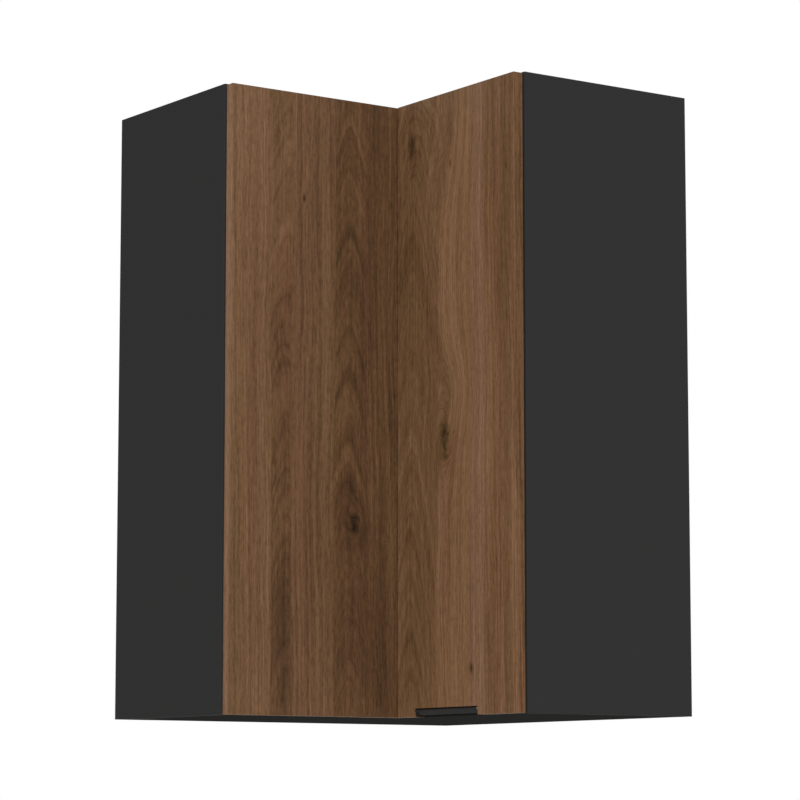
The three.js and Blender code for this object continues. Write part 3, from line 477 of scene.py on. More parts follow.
# %% Find the cut faces
def sides(name, *wanted):
    """The planes of a CAD node's box on sides such as -X and +Y: an axis and a place each."""
    corners = dict(zip("-+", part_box(name)))
    return [(axis, corners[end]["XYZ".index(axis)]) for end, axis in wanted]


def off_planes(tree, planes, slack, off=1.0):
    """1 where a point lies on none of these planes, and 0 within the slack of any of them."""
    place = add(tree, "SeparateXYZ", [add(tree, "TexCoord", out="Object")], out=None)
    for axis, where in planes:
        away = add(tree, "Math", [place[axis], where], operation="SUBTRACT")
        away = add(tree, "Math", [away], operation="ABSOLUTE")
        away = add(tree, "Math", [away, slack], operation="GREATER_THAN")
        off = add(tree, "Math", [away, off], operation="MULTIPLY")
    return off


for axis, where in sides("left_door", "+X"):
    print("The left leaf's front lies at", axis, "=", round(where, 4), "m")

# %% [markdown]
# How light the print is at a point is one number, its tone. It starts from the plank's own
# tone, and each mark makes it lighter or darker. Some places get a change of their own, and
# so does the edge band, a separate strip: on the left leaf it is lighter, a painted highlight
# on its rounded edges, and on the right leaf it is darker. Each mark could be a colour laid over
# the last, but one sum that is coloured once keeps to a family of browns.

# %% The tone of a leaf
# Inwards from the faces, the band begins and is at its full tone this far from the middle.
BAND_START, BAND_FULL = 7.6 * MM, 7.2 * MM


def leaf_tone(tree, tone, marks, bent, tones, depth, middle, band_tone_and_painted_light):
    """The tone from dark 0 to light 1: the plank's own, its marks, places and edge band, whose
    change on the left leaf is a painted highlight.
    """
    for mark, (weight, neutral) in MARKS.items():
        change = add(tree, "Math", [marks[mark], weight, -weight * neutral],
                     operation="MULTIPLY_ADD")
        tone = add(tree, "Math", [change, tone], operation="ADD")
    for centre, size, change in tones:
        here, _ = spot(tree, bent, centre, size)
        tone = add(tree, "Math", [here, change, tone], operation="MULTIPLY_ADD")
    inside = add(tree, "Math", [depth, middle], operation="SUBTRACT")
    inside = add(tree, "Math", [inside], operation="ABSOLUTE")
    band = add(tree, "MapRange", [inside, BAND_START, BAND_FULL])
    # The edge band's own change: on the left leaf a painted highlight on its rounded edges.
    return add(tree, "Math", [band, band_tone_and_painted_light, tone], operation="MULTIPLY_ADD")


print("The edge band covers the middle", round(2 * BAND_FULL / MM, 1), "mm of an edge")

# %% [markdown]
# Now one function joins the steps into the decor of a leaf. The leaves are cut from
# different sheets, so each brings its own tables of planks, knots and tones. Written out
# for each leaf, the steps would have to be mended twice. Some planks and streaks are
# pinker. Cuts without a band, as in the notch and the cup bores, are painted a speckled dark
# brown, which is painted shade as deep inside a cut, so they show neither wood nor chips.

# %% The decor of a leaf
# Where a plank begins, where its heart lies and how deep behind the face, the taper and the
# width of its rings, the strength of their lines, and its tone, hue and saturation.
PLANK = ("from", "heart", "deep", "taper", "ring", "lines", "tone", "hue", "saturation")
# The upright edges are rounded by 1 mm, and their rounding shows the print too.
EDGE_ROUNDING = 1.05 * MM
LEVEL_SLACK = 0.1 * MM
STAIN_STRENGTH, STAIN_GRAIN = 0.020, (22 * MM, 830 * MM)
# A hue of 0.5 changes nothing, and the stain's own mean is half its strength.
NEUTRAL_HUE = 0.5 - STAIN_STRENGTH / 2
# Cut faces are painted a speckled dark brown: painted shade, as deep in the notch and the bores.
CUT_SHADE_COLOURS = {COLOUR_A: linear(0x24190F), COLOUR_B: linear(0x3A291B)}
CUT_SHADE_SPECK_MM = 1.7
FIBRE_RANGE, RESIN_ROUGHNESS = (0.2, 0.8), (0.58, 0.46)


def walnut(name, door, across_axis, depth_axis, planks, swings, knots, arches, tones, band_tone_and_painted_light):
    """A printed walnut decor for a door leaf.

    Places are in metres, as board_point counts them: across plus depth, and height.
    planks: rows of the values named in PLANK.
    swings: (centre, size, shift), where the fibres swing to one side.
    knots: (centre, size, push, darkness).
    arches: (number of the plank, height of the tip, thickness, length, darkness).
    tones: (centre, size, lighter or darker).
    """
    material, tree, shader = new_material(name, Specular_IOR_Level=0.08)
    planks = [dict(zip(PLANK, row)) for row in planks]
    faces = sides(door, "-" + depth_axis, "+" + depth_axis)
    edges = sides(door, "-" + across_axis, "+" + across_axis)
    middle = (faces[0][1] + faces[1][1]) / 2
    point, depth = board_point(tree, across_axis, depth_axis)
    flat = add(tree, "SeparateXYZ", [point], out=None)
    swing, drift = wander(tree, point, swings)
    bent, dark = part_round_knots(tree, point, drift, knots)
    edge_place = add(tree, "Math", [flat["X"], swing], operation="ADD")
    rings, looks, saturation = count_rings(tree, bent, flat["Y"], edge_place, planks)
    look = add(tree, "SeparateXYZ", [looks], out=None)
    marks = ring_marks(tree, rings, flat["Y"], look["X"], planks, arches)
    marks.update(fibre_marks(tree, bent), knots=dark)
    tone = leaf_tone(tree, look["Y"], marks, bent, tones, depth, middle, band_tone_and_painted_light)

    stain = grain(tree, bent, *STAIN_GRAIN)
    hue = add(tree, "Math", [stain, STAIN_STRENGTH, look["Z"]], operation="MULTIPLY_ADD")
    hue = add(tree, "Math", [hue, NEUTRAL_HUE], operation="ADD")
    wood = add(tree, "ValToRGB", [tone], stops=WOOD_COLOURS)
    wood = add(tree, "HueSaturation", {"Hue": hue, "Saturation": saturation, "Color": wood})
    cut = off_planes(tree, faces + edges, EDGE_ROUNDING)
    cut = off_planes(tree, sides(door, "-Z", "+Z"), LEVEL_SLACK, cut)
    speck = add(tree, "TexNoise", {"Vector": add(tree, "TexCoord", out="Object"),
                                   "Scale": 1000 / CUT_SHADE_SPECK_MM})
    # Painted shade for the cut faces, a speckled dark brown.
    painted_cut_shade = add(tree, "Mix", {FACTOR: speck, **CUT_SHADE_COLOURS}, **OF_COLOURS)
    relief = add(tree, "Math", [marks["fibres"], marks["pores"]], operation="SUBTRACT")
    wire(tree, shader,
         Base_Color=add(tree, "Mix", {FACTOR: cut, COLOUR_A: wood, COLOUR_B: painted_cut_shade},
                        **OF_COLOURS),
         Roughness=add(tree, "MapRange", [marks["fibres"], *FIBRE_RANGE, *RESIN_ROUGHNESS]),
         Normal=add(tree, "Bump", {"Strength": 0.12, "Distance": 0.3 * MM, "Height": relief}))
    print(name, "has", len(tree.nodes), "nodes,", len(planks), "planks and", len(knots), "knots")
    return material


# %% [markdown]
# The left leaf has six planks. The fourth was cut close to the heart, so a row of arches
# climbs it, with one large knot among the lower ones. A row of a table stands for each
# feature, so that one feature can be moved without touching the rest.

# %% Walnut on the left leaf
left_walnut = walnut(
    "left_leaf_printed_walnut", "left_door", "Y", "X",
    planks=[
        (-0.600, -0.800, 0.060, 0.015, 0.0017, 0.4, 0.530, 0.001, 0.975),
        (-0.217, -0.184, 0.022, 0.260, 0.0040, 0.9, 0.450, 0.001, 0.990),
        (-0.181, -0.550, 0.060, 0.008, 0.0017, 0.3, 0.490, -0.001, 0.970),
        (-0.109, -0.081, 0.012, 0.300, 0.0030, 0.9, 0.405, 0.000, 1.000),
        (-0.052, -0.600, 0.060, 0.025, 0.0022, 0.7, 0.405, 0.000, 1.000),
        (-0.007, 0.300, 0.100, 0.020, 0.0020, 0.5, 0.400, 0.000, 1.000),
    ],
    swings=[
        ((-0.205, 0.540), (0.020, 0.050), 0.008),
        ((-0.150, 0.300), (0.060, 0.250), 0.004),
        ((-0.020, 0.560), (0.040, 0.150), 0.006),
    ],
    knots=[
        ((-0.0750, 0.277), (0.0060, 0.012), 0.018, 0.72),
        ((-0.1637, 0.744), (0.0026, 0.005), 0.004, 0.90),
    ],
    arches=[
        (3, 0.850, 0.010, 0.060, 0.08), (3, 0.810, 0.012, 0.060, 0.10),
        (3, 0.709, 0.014, 0.050, 0.12), (3, 0.560, 0.010, 0.090, 0.12),
        (3, 0.497, 0.012, 0.060, 0.10), (3, 0.401, 0.010, 0.070, 0.07),
        (3, 0.337, 0.008, 0.040, 0.06), (3, 0.180, 0.012, 0.060, 0.07),
        (1, 0.190, 0.014, 0.060, 0.08), (1, 0.105, 0.014, 0.050, 0.07),
    ],
    tones=[
        ((-0.2600, 0.780), (0.060, 0.260), 0.08),
        ((-0.1970, 0.780), (0.018, 0.160), 0.06),
        ((-0.1970, 0.542), (0.008, 0.024), -0.08),
        ((-0.2000, 0.400), (0.016, 0.120), -0.04),
        ((-0.2000, 0.330), (0.016, 0.010), -0.04),
        ((-0.1930, 0.140), (0.015, 0.130), -0.05),
        ((-0.1940, 0.064), (0.014, 0.045), -0.03),
        ((-0.2750, 0.150), (0.024, 0.180), -0.09),
        ((-0.1870, 0.120), (0.009, 0.140), -0.08),
        ((-0.1500, 0.150), (0.012, 0.140), -0.05),
        ((-0.0796, 0.596), (0.003, 0.040), -0.12),
        ((-0.0033, 0.443), (0.003, 0.075), -0.14),
        ((-0.0220, 0.070), (0.018, 0.130), -0.08),
        ((-0.0760, 0.315), (0.013, 0.034), -0.10),
        ((-0.0640, 0.258), (0.018, 0.022), -0.10),
        ((-0.0450, 0.150), (0.060, 0.200), -0.04),
    ],
    # The band is painted lighter here, as a highlight on the rounded edges.
    band_tone_and_painted_light=0.12,
)
paint(left_walnut, "left_door")

# %% [markdown]
# The right leaf has four planks. Its first one, next to the fold, shows small arches. The
# second swings round a long knot, and the outer two run straight. Its sheet is paler than
# that of the left leaf, so the tones of its planks are higher.

# %% Walnut on the right leaf
right_walnut = walnut(
    "right_leaf_printed_walnut", "right_door", "X", "Y",
    planks=[
        (0.000, 0.038, 0.014, 0.300, 0.0032, 0.9, 0.540, 0.002, 1.000),
        (0.104, -0.100, 0.050, 0.010, 0.0027, 0.9, 0.635, 0.001, 1.010),
        (0.176, -0.200, 0.100, 0.010, 0.0027, 0.7, 0.650, -0.001, 0.960),
        (0.214, -0.300, 0.050, 0.020, 0.0050, 1.6, 0.592, -0.001, 1.010),
    ],
    swings=[
        ((0.130, 0.880), (0.060, 0.130), -0.042),
        ((0.135, 0.460), (0.050, 0.070), -0.030),
        ((0.110, 0.150), (0.060, 0.150), 0.010),
    ],
    knots=[
        ((0.0387, 0.835), (0.0090, 0.018), 0.012, 0.60),
        ((0.1200, 0.398), (0.0080, 0.027), 0.028, 1.00),
        ((0.1336, 0.793), (0.0025, 0.005), 0.003, 0.60),
        ((0.2676, 0.766), (0.0025, 0.005), 0.003, 0.60),
        ((0.1811, 0.065), (0.0035, 0.006), 0.005, 0.90),
    ],
    arches=[
        (0, 0.266, 0.012, 0.060, 0.08), (0, 0.200, 0.012, 0.070, 0.09),
        (0, 0.115, 0.010, 0.040, 0.08), (0, 0.067, 0.012, 0.050, 0.09),
    ],
    tones=[
        ((0.273, 0.558), (0.002, 0.018), -0.20),
        ((0.255, 0.800), (0.050, 0.120), -0.05),
        ((0.008, 0.180), (0.016, 0.260), 0.09),
        ((0.255, 0.590), (0.010, 0.050), -0.06),
        ((0.265, 0.650), (0.014, 0.070), -0.05),
        ((0.163, 0.800), (0.016, 0.070), 0.08),
        ((0.226, 0.360), (0.010, 0.200), 0.09),
        ((0.120, 0.372), (0.013, 0.038), -0.09),
        ((0.200, 0.400), (0.022, 0.130), 0.06),
        ((0.190, 0.090), (0.012, 0.100), -0.05),
        ((0.272, 0.400), (0.010, 0.900), -0.05),
    ],
    band_tone_and_painted_light=-0.10,
)
paint(right_walnut, "right_door")

# %% [markdown]
# ## Black melamine board
#
# The carcass is chipboard faced with black melamine paper, pressed against a fine matt
# plate. To the eye it is an even near-black with hardly any gloss and a very faint grain.
# Wherever the board was cut and not edged, as at its back edge, in the grooves and in the
# bores, pale chips of wood show. Chips are irregular and touch, as Voronoi cells do.

# %% Melamine with bare chipboard where it is cut
MELAMINE_COLOURS = {COLOUR_A: linear(0x2C2C2C), COLOUR_B: linear(0x303030)}
MELAMINE_GLOSS = 0.005
CHIP_COLOURS = [(0.25, 0x6E5439), (0.5, 0x9C7C56), (0.75, 0xBFA079)]
CHIP_MM = 2.5
PRESS_GRAIN_MM = 0.8
# An edge that is rounded by 1 mm strays from its two faces by up to 0.3 mm.
FACING_SLACK = 0.36 * MM
CHIPBOARD_ROUGHNESS = 0.9


def melamine(name, faced_planes, gloss=MELAMINE_GLOSS):
    """Black melamine board, faced on these planes. One without planes is banded all round."""
    material, tree, shader = new_material(name, Specular_IOR_Level=gloss)
    place = add(tree, "TexCoord", out="Object")
    press = add(tree, "TexNoise", {"Vector": place, "Scale": 1000 / PRESS_GRAIN_MM, "Detail": 2.0})
    colour = add(tree, "Mix", {FACTOR: press, **MELAMINE_COLOURS}, **OF_COLOURS)
    rough = add(tree, "MapRange", {"Value": press, "To Min": 0.52, "To Max": 0.66})
    if faced_planes:
        cut = off_planes(tree, faced_planes, FACING_SLACK)
        chip = add(tree, "TexVoronoi", {"Vector": place, "Scale": 1000 / CHIP_MM}, out="Color")
        chip = add(tree, "ValToRGB", [add(tree, "SeparateColor", [chip])], stops=CHIP_COLOURS)
        colour = add(tree, "Mix", {FACTOR: cut, COLOUR_A: colour, COLOUR_B: chip}, **OF_COLOURS)
        rough = add(tree, "Mix", {FACTOR: cut, NUMBER_A: rough, NUMBER_B: CHIPBOARD_ROUGHNESS})
    wire(tree, shader, Base_Color=colour, Roughness=rough,
         Normal=add(tree, "Bump", {"Strength": 0.1, "Distance": 0.2 * MM, "Height": press}))
    return material


front_edges = sides("left_end_panel", "+X") + sides("right_end_panel", "-Y")
FACED = {
    "left_end_panel": sides("left_end_panel", "-Y", "+Y", "+X", "-Z", "+Z"),
    "right_end_panel": sides("right_end_panel", "+X", "-X", "-Y", "-Z", "+Z"),
    "bottom_panel": sides("bottom_panel", "-Z", "+Z") + front_edges,
    "top_panel": sides("top_panel", "-Z", "+Z") + front_edges,
    "corner_post_left": sides("corner_post_left", "-X", "+X", "-Y"),
    "corner_post_right": sides("corner_post_right", "-Y", "+Y", "+X"),
}
for name, planes in FACED.items():
    # Seen from below, the underside would mirror the pale floor, so it gets no gloss.
    gloss = 0.0 if name == "bottom_panel" else MELAMINE_GLOSS
    paint(melamine(name + "_black_melamine", planes, gloss), name)
paint(melamine("shelf_black_melamine", []), "lower_shelf", "upper_shelf")
print("Melamine on", len(FACED) + 2, "boards")

# %% [markdown]
# ## Hardboard backs
#
# The two backs are 3 mm hardboard, pressed from wood fibre. The face towards the shelves
# is lacquered black. The face towards the wall is left raw: a dull warm brown that is
# clouded by clumps of fibre, with the print of the wire screen that the wet fibre was
# pressed on. Two crossed waves make the screen, and cost less than modelled wires.

# %% Hardboard, lacquered inside and raw behind
LACQUER_COLOUR = linear(0x2B2B2B)
RAW_FIBRE_COLOURS = [(0.3, 0x5A4330), (0.6, 0x7A5F45)]
SCREEN_WIRE_MM = 1.5
FIBRE_CLUMP_MM = 4.0
CLUMP_RELIEF = 0.4
RAW_ROUGHNESS = 0.95
RAW_SLACK = 0.2 * MM


def hardboard(name, raw_plane):
    """Hardboard that is lacquered everywhere but on this plane."""
    material, tree, shader = new_material(name, Specular_IOR_Level=0.15)
    place = add(tree, "TexCoord", out="Object")
    parts = add(tree, "SeparateXYZ", [place], out=None)
    lacquered = off_planes(tree, [raw_plane], RAW_SLACK)
    clumps = add(tree, "TexNoise", {"Vector": place, "Scale": 1000 / FIBRE_CLUMP_MM,
                                    "Detail": 4.0})
    fibre = add(tree, "ValToRGB", [clumps], stops=RAW_FIBRE_COLOURS)
    rough = add(tree, "MapRange", {"Value": clumps, "To Min": 0.45, "To Max": 0.60})
    screen = add(tree, "Math", [1.0, lacquered], operation="SUBTRACT")
    for across in "XYZ".replace(raw_plane[0], ""):
        wave = add(tree, "Math", [parts[across], 2000 * math.pi / SCREEN_WIRE_MM],
                   operation="MULTIPLY")
        wave = add(tree, "Math", [wave], operation="SINE")
        screen = add(tree, "Math", [wave, screen], operation="MULTIPLY")
    relief = add(tree, "Math", [clumps, CLUMP_RELIEF, screen], operation="MULTIPLY_ADD")
    wire(tree, shader,
         Base_Color=add(tree, "Mix", {FACTOR: lacquered, COLOUR_A: fibre,
                                      COLOUR_B: LACQUER_COLOUR}, **OF_COLOURS),
         Roughness=add(tree, "Mix", {FACTOR: lacquered, NUMBER_A: RAW_ROUGHNESS,
                                     NUMBER_B: rough}),
         Normal=add(tree, "Bump", {"Strength": 0.25, "Distance": 0.2 * MM, "Height": relief}))
    return material


for board, raw_side in (("left_back_board", "-X"), ("right_back_board", "+Y")):
    finish = hardboard(board.replace("board", "hardboard"), *sides(board, raw_side))
    paint(finish, board)
    print(board, "is raw on its side", raw_side)

# %% [markdown]
# ## Metal and soft plastic
#
# The hinges, screws and pins are pressed steel with bright nickel plating. To the eye they
# are smooth and a little warm, with faint marks drawn along them by the press. The cam
# locks and hanging brackets are die-cast zinc, which has a grey, slightly cloudy skin and
# a duller shine. Both are metals, so they keep the default IOR, and only their colour,
# roughness and relief are set.

# %% Nickel-plated steel and die-cast zinc
DRAWN_LENGTH = 5.0
MARK_RANGE = 0.3, 0.7


def metal(name, dark, pale, cloud_mm, mark_mm, roughness, relief_mm):
    """A metal with a cloudy tone, and marks that are longer than they are wide."""
    material, tree, shader = new_material(name, Metallic=1.0)
    place = add(tree, "TexCoord", out="Object")
    cloud = add(tree, "TexNoise", {"Vector": place, "Scale": 1000 / cloud_mm, "Detail": 3.0})
    drawn = add(tree, "Mapping", {"Vector": place, "Scale": (1.0, 1.0, 1 / DRAWN_LENGTH)})
    mark = add(tree, "TexNoise", {"Vector": drawn, "Scale": 1000 / mark_mm, "Detail": 2.0})
    colours = {COLOUR_A: linear(dark), COLOUR_B: linear(pale)}
    wire(tree, shader,
         Base_Color=add(tree, "Mix", {FACTOR: cloud, **colours}, **OF_COLOURS),
         Roughness=add(tree, "MapRange", [mark, *MARK_RANGE, *roughness]),
         Normal=add(tree, "Bump", {"Strength": 0.08, "Distance": relief_mm * MM,
                                   "Height": mark}))
    return material


nickel = metal("nickel_plated_steel", 0xB9B6AE, 0xCBC8C1, cloud_mm=12.0, mark_mm=0.8,
               roughness=(0.20, 0.34), relief_mm=0.05)
zinc = metal("die_cast_zinc", 0x8F9190, 0xB0B2B1, cloud_mm=5.0, mark_mm=0.5,
             roughness=(0.40, 0.58), relief_mm=0.10)
print("Made", nickel.name, "and", zinc.name)

# %% [markdown]
# The buffers are drops of clear soft plastic, cast from polyurethane. Light goes into
# them and comes out again scattered, so to the eye they are milky and gleam a little.
# Subsurface light would be truer but slow, for drops 8 mm wide. So a part of the light is
# transmitted, and fine clouds vary the gloss.

# %% Clear soft plastic
BUFFER_COLOUR = linear(0xDCDCD6)
BUFFER_CLOUD_MM = 1.5
buffer_plastic, tree, shader = new_material("clear_soft_polyurethane", Base_Color=BUFFER_COLOUR,
                                            Transmission_Weight=0.6, IOR=1.49)
cloud = add(tree, "TexNoise", {"Vector": add(tree, "TexCoord", out="Object"),
                               "Scale": 1000 / BUFFER_CLOUD_MM, "Detail": 2.0})
wire(tree, shader,
     Roughness=add(tree, "MapRange", {"Value": cloud, "To Min": 0.22, "To Max": 0.42}),
     Normal=add(tree, "Bump", {"Strength": 0.1, "Distance": 0.1 * MM, "Height": cloud}))
print("Made", buffer_plastic.name)

# %% [markdown]
# ## Softened edges
#
# The CAD solids have knife-sharp edges, and a real pressed or cast part has none. The CAD
# meshes may not change, so each metal piece is copied, and a Bevel modifier rounds every
# sharp edge of the copy by a fraction of a millimetre. The copy then stands for the CAD
# node. Modelling each one anew would give the same shape and could drift from its place.
# Every new piece needs the same last steps, so two functions hold them.

# %% Finish a new piece
record = frame["record"]
body_of = {name: body for body, names in record["behaviour"]["bodies"].items() for name in names}
slot_of = {part["node"]: part["material_slot"] for part in record["subparts"]}
SHARP_ANGLE = math.radians(32)


def finish_piece(piece, material, body):
    """Links a finished piece, gives it its material and lets it ride on its body."""
    scene.collection.objects.link(piece)
    piece.data.materials.clear()
    piece.data.materials.append(material)
    for face in piece.data.polygons:
        face.use_smooth = True
    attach(piece, body)


def round_edges(piece, radius):
    """A Bevel modifier on the sharp edges, with the flat faces kept looking flat."""
    bevel = piece.modifiers.new("rounded_edges", "BEVEL")
    bevel.width = radius
    bevel.segments = 2
    bevel.limit_method = "ANGLE"
    bevel.angle_limit = SHARP_ANGLE
    bevel.harden_normals = True


# %% [markdown]
# A CAD node's mesh is loose triangles. Merging their corners closes it, and dissolving the
# lines inside each flat side leaves real edges only, so the bevel meets nothing else. A
# count of open edges shows whether every copy is closed.

# %% Copy, merge and soften the metal nodes
EDGE_RADIUS = 0.3 * MM
MERGE_DISTANCE = 1e-6
FLAT_ANGLE = math.radians(0.5)
FINISHES = {"nickel_steel": nickel, "zinc_alloy": zinc}


def soften(name):
    """A copy of a CAD node with merged faces and rounded edges, which stands for it."""
    shape = bmesh.new()
    shape.from_mesh(nodes[name].data)
    bmesh.ops.remove_doubles(shape, verts=shape.verts, dist=MERGE_DISTANCE)
    bmesh.ops.dissolve_limit(shape, angle_limit=FLAT_ANGLE, verts=shape.verts,
                             edges=shape.edges)
    open_edges = sum(not edge.is_manifold for edge in shape.edges)
    mesh = bpy.data.meshes.new("softened_" + name)
    shape.to_mesh(mesh)
    shape.free()
    piece = bpy.data.objects.new("softened_" + name, mesh)
    finish_piece(piece, FINISHES[slot_of[name]], body_of[name])
    round_edges(piece, EDGE_RADIUS)
    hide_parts(name)
    return open_edges


softened = [name for name in nodes if slot_of[name] in FINISHES]
open_edges = sum(soften(name) for name in softened)
print("Softened", len(softened), "metal nodes, with", open_edges, "open edges")

# %% [markdown]
# ## Screw heads
#
# Pan-head screws with a cross recess hold the mounting plates, cups and fold hinges. The
# head is a disc with a rounded rim. Four cuts across it each way mark out the cross, whose
# faces are then pushed down. A painted cross would be quicker, but it has no shadow.

# %% One pan head
HEAD_HEIGHT = 2.2 * MM
HEAD_SIDES = 24
RIM_ROUNDING = 1.1 * MM
RECESS_DEPTH = 1.1 * MM
RECESS_ARM = 2.3 * MM
RECESS_HALF_WIDTH = 0.5 * MM
CUTS = (-RECESS_ARM, -RECESS_HALF_WIDTH, RECESS_HALF_WIDTH, RECESS_ARM)
ON_CUT = 1e-7
FLAT_TOP = 0.99


def verts_of(made):
    """The vertices among the parts that an operator made."""
    return [part for part in made["geom"] if isinstance(part, bmesh.types.BMVert)]


def pan_head(radius):
    """A screw head on the origin that faces along +Z."""
    shape = bmesh.new()
    bmesh.ops.create_circle(shape, cap_ends=True, radius=radius, segments=HEAD_SIDES)
    top = verts_of(bmesh.ops.extrude_face_region(shape, geom=shape.faces[:]))
    bmesh.ops.translate(shape, verts=top, vec=(0, 0, HEAD_HEIGHT))
    rim = [edge for edge in shape.edges if all(vert in top for vert in edge.verts)]
    bmesh.ops.bevel(shape, geom=rim, offset=RIM_ROUNDING, segments=4, profile=0.5,
                    affect="EDGES", material=-1)
    for normal in (Vector((1, 0, 0)), Vector((0, 1, 0))):
        for distance in CUTS:
            bmesh.ops.bisect_plane(shape, geom=shape.verts[:] + shape.edges[:] + shape.faces[:],
                                   dist=ON_CUT, plane_no=normal, plane_co=normal * distance)
    cross = []
    for face in shape.faces:
        near, far = sorted(abs(part) for part in face.calc_center_median().xy)
        if face.normal.z > FLAT_TOP and near < RECESS_HALF_WIDTH and far < RECESS_ARM:
            cross.append(face)
    sunk = verts_of(bmesh.ops.extrude_face_region(shape, geom=cross))
    bmesh.ops.translate(shape, verts=sunk, vec=(0, 0, -RECESS_DEPTH))
    bmesh.ops.delete(shape, geom=[face for face in cross if face.is_valid], context="FACES")
    bmesh.ops.recalc_face_normals(shape, faces=shape.faces)
    open_edges = sum(not edge.is_manifold for edge in shape.edges)
    mesh = bpy.data.meshes.new("pan_head")
    shape.to_mesh(mesh)
    shape.free()
    print("A head", round(2 * radius / MM, 1), "mm wide has", len(mesh.polygons), "faces and",
          open_edges, "open edges")
    return mesh


# %% [markdown]
# Each pair of heads is one piece, because the two move together. The head is made on the
# origin and then turned and carried to each place, so that the finished piece itself
# stays at the origin with its place in its mesh, as a CAD node does. The places are
# counted from the leaves' edges and backs: a cup's middle lies 22.5 mm in from the edge,
# and its screws 6 mm further.

# %% Set the screw heads in pairs
HEAD_RADIUS = {"plate": 4.1 * MM, "cup": 3.6 * MM, "wing": 3.2 * MM}
HALF_SPACING = {"plate": 16 * MM, "cup": 22.5 * MM, "wing": 11 * MM}
PLATE_SHEET, CUP_FLANGE, WING_SHEET = 3 * MM, 0.8 * MM, 1.6 * MM
CUP_SCREWS_IN = (22.5 + 6) * MM
WING_SCREWS_IN = 19.2 * MM
left_leaf_low, left_leaf_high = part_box("left_door")
right_leaf_low, right_leaf_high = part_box("right_door")


def set_heads(name, kind, body, centre, facing):
    """One piece of two pan heads, above and below this centre, which face that way."""
    head = pan_head(HEAD_RADIUS[kind])
    turn = Vector((0, 0, 1)).rotation_difference(Vector(facing)).to_matrix().to_4x4()
    shape = bmesh.new()
    for step in (-HALF_SPACING[kind], HALF_SPACING[kind]):
        before = len(shape.verts)
        shape.from_mesh(head)
        shape.verts.ensure_lookup_table()
        place = Matrix.Translation(Vector(centre) + Vector((0, 0, step)))
        bmesh.ops.transform(shape, matrix=place @ turn, verts=shape.verts[before:])
    mesh = bpy.data.meshes.new(name)
    shape.to_mesh(mesh)
    shape.free()
    bpy.data.meshes.remove(head)
    finish_piece(bpy.data.objects.new(name, mesh), nickel, body)
    mesh.set_sharp_from_angle(angle=SHARP_ANGLE)


for level in ("lower_", "upper_"):
    low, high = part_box(level + "hinge_plate")
    y, z = (low.y + high.y) / 2, (low.z + high.z) / 2
    set_heads(level + "plate_screw_heads", "plate", "carcass", (high.x - PLATE_SHEET, y, z),
              (-1, 0, 0))
    place = (right_leaf_high.x - CUP_SCREWS_IN, right_leaf_high.y + CUP_FLANGE, z)
    set_heads(level + "cup_screw_heads", "cup", "right_leaf", place, (0, 1, 0))
    low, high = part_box(level + "fold_hinge_pin")
    z = (low.z + high.z) / 2
    place = (right_leaf_low.x + WING_SCREWS_IN, right_leaf_high.y + WING_SHEET, z)
    set_heads(level + "right_wing_screw_heads", "wing", "right_leaf", place, (0, 1, 0))
    place = (left_leaf_low.x - WING_SHEET, left_leaf_high.y - WING_SCREWS_IN, z)
    set_heads(level + "left_wing_screw_heads", "wing", "left_leaf", place, (-1, 0, 0))
print("Set 16 screw heads in 8 pairs")

# %% [markdown]
# ## The finger pull
#
# The pull is one strip of 1.5 mm aluminium, bent twice. Its flange is screwed to the back
# of the leaf, its roof passes through the notch, and its lip rakes back for the fingers.
# Only the middle of the sheet is drawn, as three flat faces in a row. Bevelling the two
# bends makes them round, and Solidify then gives the sheet its thickness. Both sides of
# it could be drawn, but then each bend would need two radii that fit. The front bend and
# the lip's foot are counted back and up from the front and the foot of the CAD pull.

# %% Finger pull strip
SHEET = 1.5 * MM
BEND_RADIUS = 1.4 * MM
FRONT_BEND = 1.68 * MM, 7.65 * MM
LIP_FOOT = 8.06 * MM, 0.50 * MM
pull_low, pull_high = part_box("finger_pull")
pull_length = pull_high.x - pull_low.x
flange_y = right_leaf_high.y + SHEET / 2
front_bend = (pull_low.y + FRONT_BEND[0], pull_low.z + FRONT_BEND[1])
lip_foot = (pull_low.y + LIP_FOOT[0], pull_low.z + LIP_FOOT[1])
section = [(flange_y, pull_high.z), (flange_y, front_bend[1]), front_bend, lip_foot]

strip = bmesh.new()
corners = [strip.verts.new((pull_low.x, y, z)) for y, z in section]
line = [strip.edges.new(pair) for pair in zip(corners, corners[1:])]
drawn = verts_of(bmesh.ops.extrude_edge_only(strip, edges=line))
bmesh.ops.translate(strip, verts=drawn, vec=(pull_length, 0, 0))
bends = [edge for edge in strip.edges if len(edge.link_faces) == 2]
bmesh.ops.bevel(strip, geom=bends, offset=BEND_RADIUS, segments=6, profile=0.5, affect="EDGES",
                material=-1)
bmesh.ops.recalc_face_normals(strip, faces=strip.faces)
strip_mesh = bpy.data.meshes.new("finger_pull_strip")
strip.to_mesh(strip_mesh)
strip.free()
print("The strip has", len(bends), "bends and", len(strip_mesh.polygons), "faces")

# %% [markdown]
# The strip was powder-coated black in the bar and then sawn to length, so its two ends are
# bare aluminium and catch the light. The powder melts into a dull skin with a fine orange
# peel, a bit under a millimetre from hill to hill.

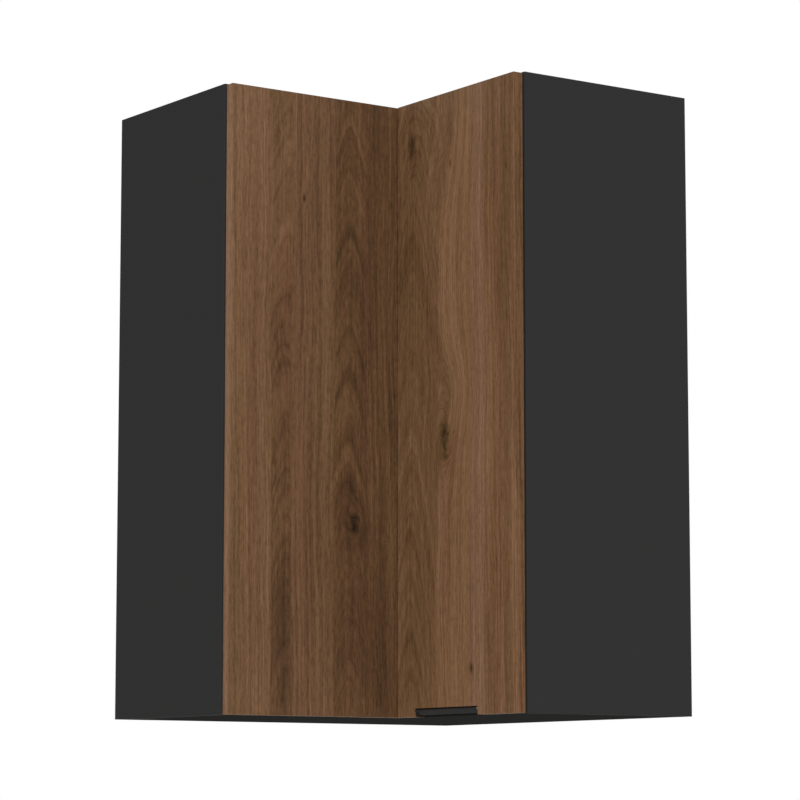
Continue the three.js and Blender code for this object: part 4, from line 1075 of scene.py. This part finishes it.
# %% Powder-coated aluminium
POWDER_COLOURS = {COLOUR_A: linear(0x161616), COLOUR_B: linear(0x1D1D1D)}
BARE_ALUMINIUM = linear(0x9A958F)
BARE_METALLIC = 0.7
PEEL_MM = 0.8
SAWN_SLACK = 0.2 * MM
pull_coat, tree, shader = new_material("powder_coated_aluminium", Specular_IOR_Level=0.12)
peel = add(tree, "TexNoise", {"Vector": add(tree, "TexCoord", out="Object"),
                              "Scale": 1000 / PEEL_MM, "Detail": 2.0})
coated = off_planes(tree, sides("finger_pull", "-X", "+X"), SAWN_SLACK)
powder = add(tree, "Mix", {FACTOR: peel, **POWDER_COLOURS}, **OF_COLOURS)
metallic = add(tree, "Math", [coated, -BARE_METALLIC, BARE_METALLIC], operation="MULTIPLY_ADD")
wire(tree, shader,
     Base_Color=add(tree, "Mix", {FACTOR: coated, COLOUR_A: BARE_ALUMINIUM, COLOUR_B: powder},
                    **OF_COLOURS),
     Metallic=metallic,
     Roughness=add(tree, "MapRange", {"Value": peel, "To Min": 0.42, "To Max": 0.58}),
     Normal=add(tree, "Bump", {"Strength": 0.2, "Distance": 0.1 * MM, "Height": peel}))
print("Made", pull_coat.name)

# %% [markdown]
# A folded sheet keeps its thickness round a bend, and so does Solidify with its even
# offset. At an offset of 0 it grows to both sides of the drawn middle. The saw leaves a
# crisp edge, so the bevel that comes after it is finer than on the steel parts.

# %% Give the strip its thickness
SAWN_EDGE_RADIUS = 0.2 * MM
pull = bpy.data.objects.new("finger_pull_strip", strip_mesh)
finish_piece(pull, pull_coat, "right_leaf")
thick = pull.modifiers.new("sheet", "SOLIDIFY")
thick.thickness = SHEET
thick.offset = 0
thick.use_even_offset = True
round_edges(pull, SAWN_EDGE_RADIUS)
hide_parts("finger_pull")
print("The pull is", round(pull_length / MM), "mm long")

# %% [markdown]
# ## Buffers
#
# Each buffer is a low dome that the leaf closes against. A dome is a turned shape, so half
# of its section is drawn once and spun round its middle. A squashed sphere would be
# quicker, but it has no flat foot and no upright side. The section is given in parts of
# the radius and of the height.

# %% Spin one buffer
BUFFER_RADIUS = 4 * MM
BUFFER_HEIGHT = 1.7 * MM
BUFFER_SECTION = [(0.0, 0.0), (1.0, 0.0), (1.0, 0.35), (0.94, 0.62), (0.80, 0.84), (0.55, 0.96),
                  (0.25, 1.0), (0.0, 1.0)]
dome = bmesh.new()
rim = [dome.verts.new((r * BUFFER_RADIUS, 0, z * BUFFER_HEIGHT)) for r, z in BUFFER_SECTION]
half = [dome.edges.new(pair) for pair in zip(rim, rim[1:])]
bmesh.ops.spin(dome, geom=rim + half, cent=(0, 0, 0), axis=(0, 0, 1), angle=2 * math.pi, steps=32,
               use_merge=True, use_duplicate=False)
bmesh.ops.remove_doubles(dome, verts=dome.verts, dist=MERGE_DISTANCE)
bmesh.ops.recalc_face_normals(dome, faces=dome.faces)
print("A buffer has", len(dome.faces), "faces and",
      sum(not edge.is_manifold for edge in dome.edges), "open edges")

# %% [markdown]
# Each leaf has two buffers on its back, which meet the carcass when the door is closed. The
# box of the CAD buffer gives the place: its side on the leaf carries the flat foot, and the
# dome faces the carcass from there.

# %% Set the four buffers
for name in sorted(nodes):
    if "buffer" not in name:
        continue
    low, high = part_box(name)
    middle = (low + high) / 2
    on_left = name.startswith("left")
    facing = Vector((-1, 0, 0)) if on_left else Vector((0, 1, 0))
    seat = Vector((high.x, middle.y, middle.z)) if on_left else Vector((middle.x, low.y, middle.z))
    turn = Vector((0, 0, 1)).rotation_difference(facing).to_matrix().to_4x4()
    mesh = bpy.data.meshes.new("clear_" + name)
    dome.to_mesh(mesh)
    mesh.transform(Matrix.Translation(seat) @ turn)
    piece = bpy.data.objects.new("clear_" + name, mesh)
    finish_piece(piece, buffer_plastic, body_of[name])
    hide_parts(name)
    print(name, "stands at", [round(part, 4) for part in seat])
dome.free()
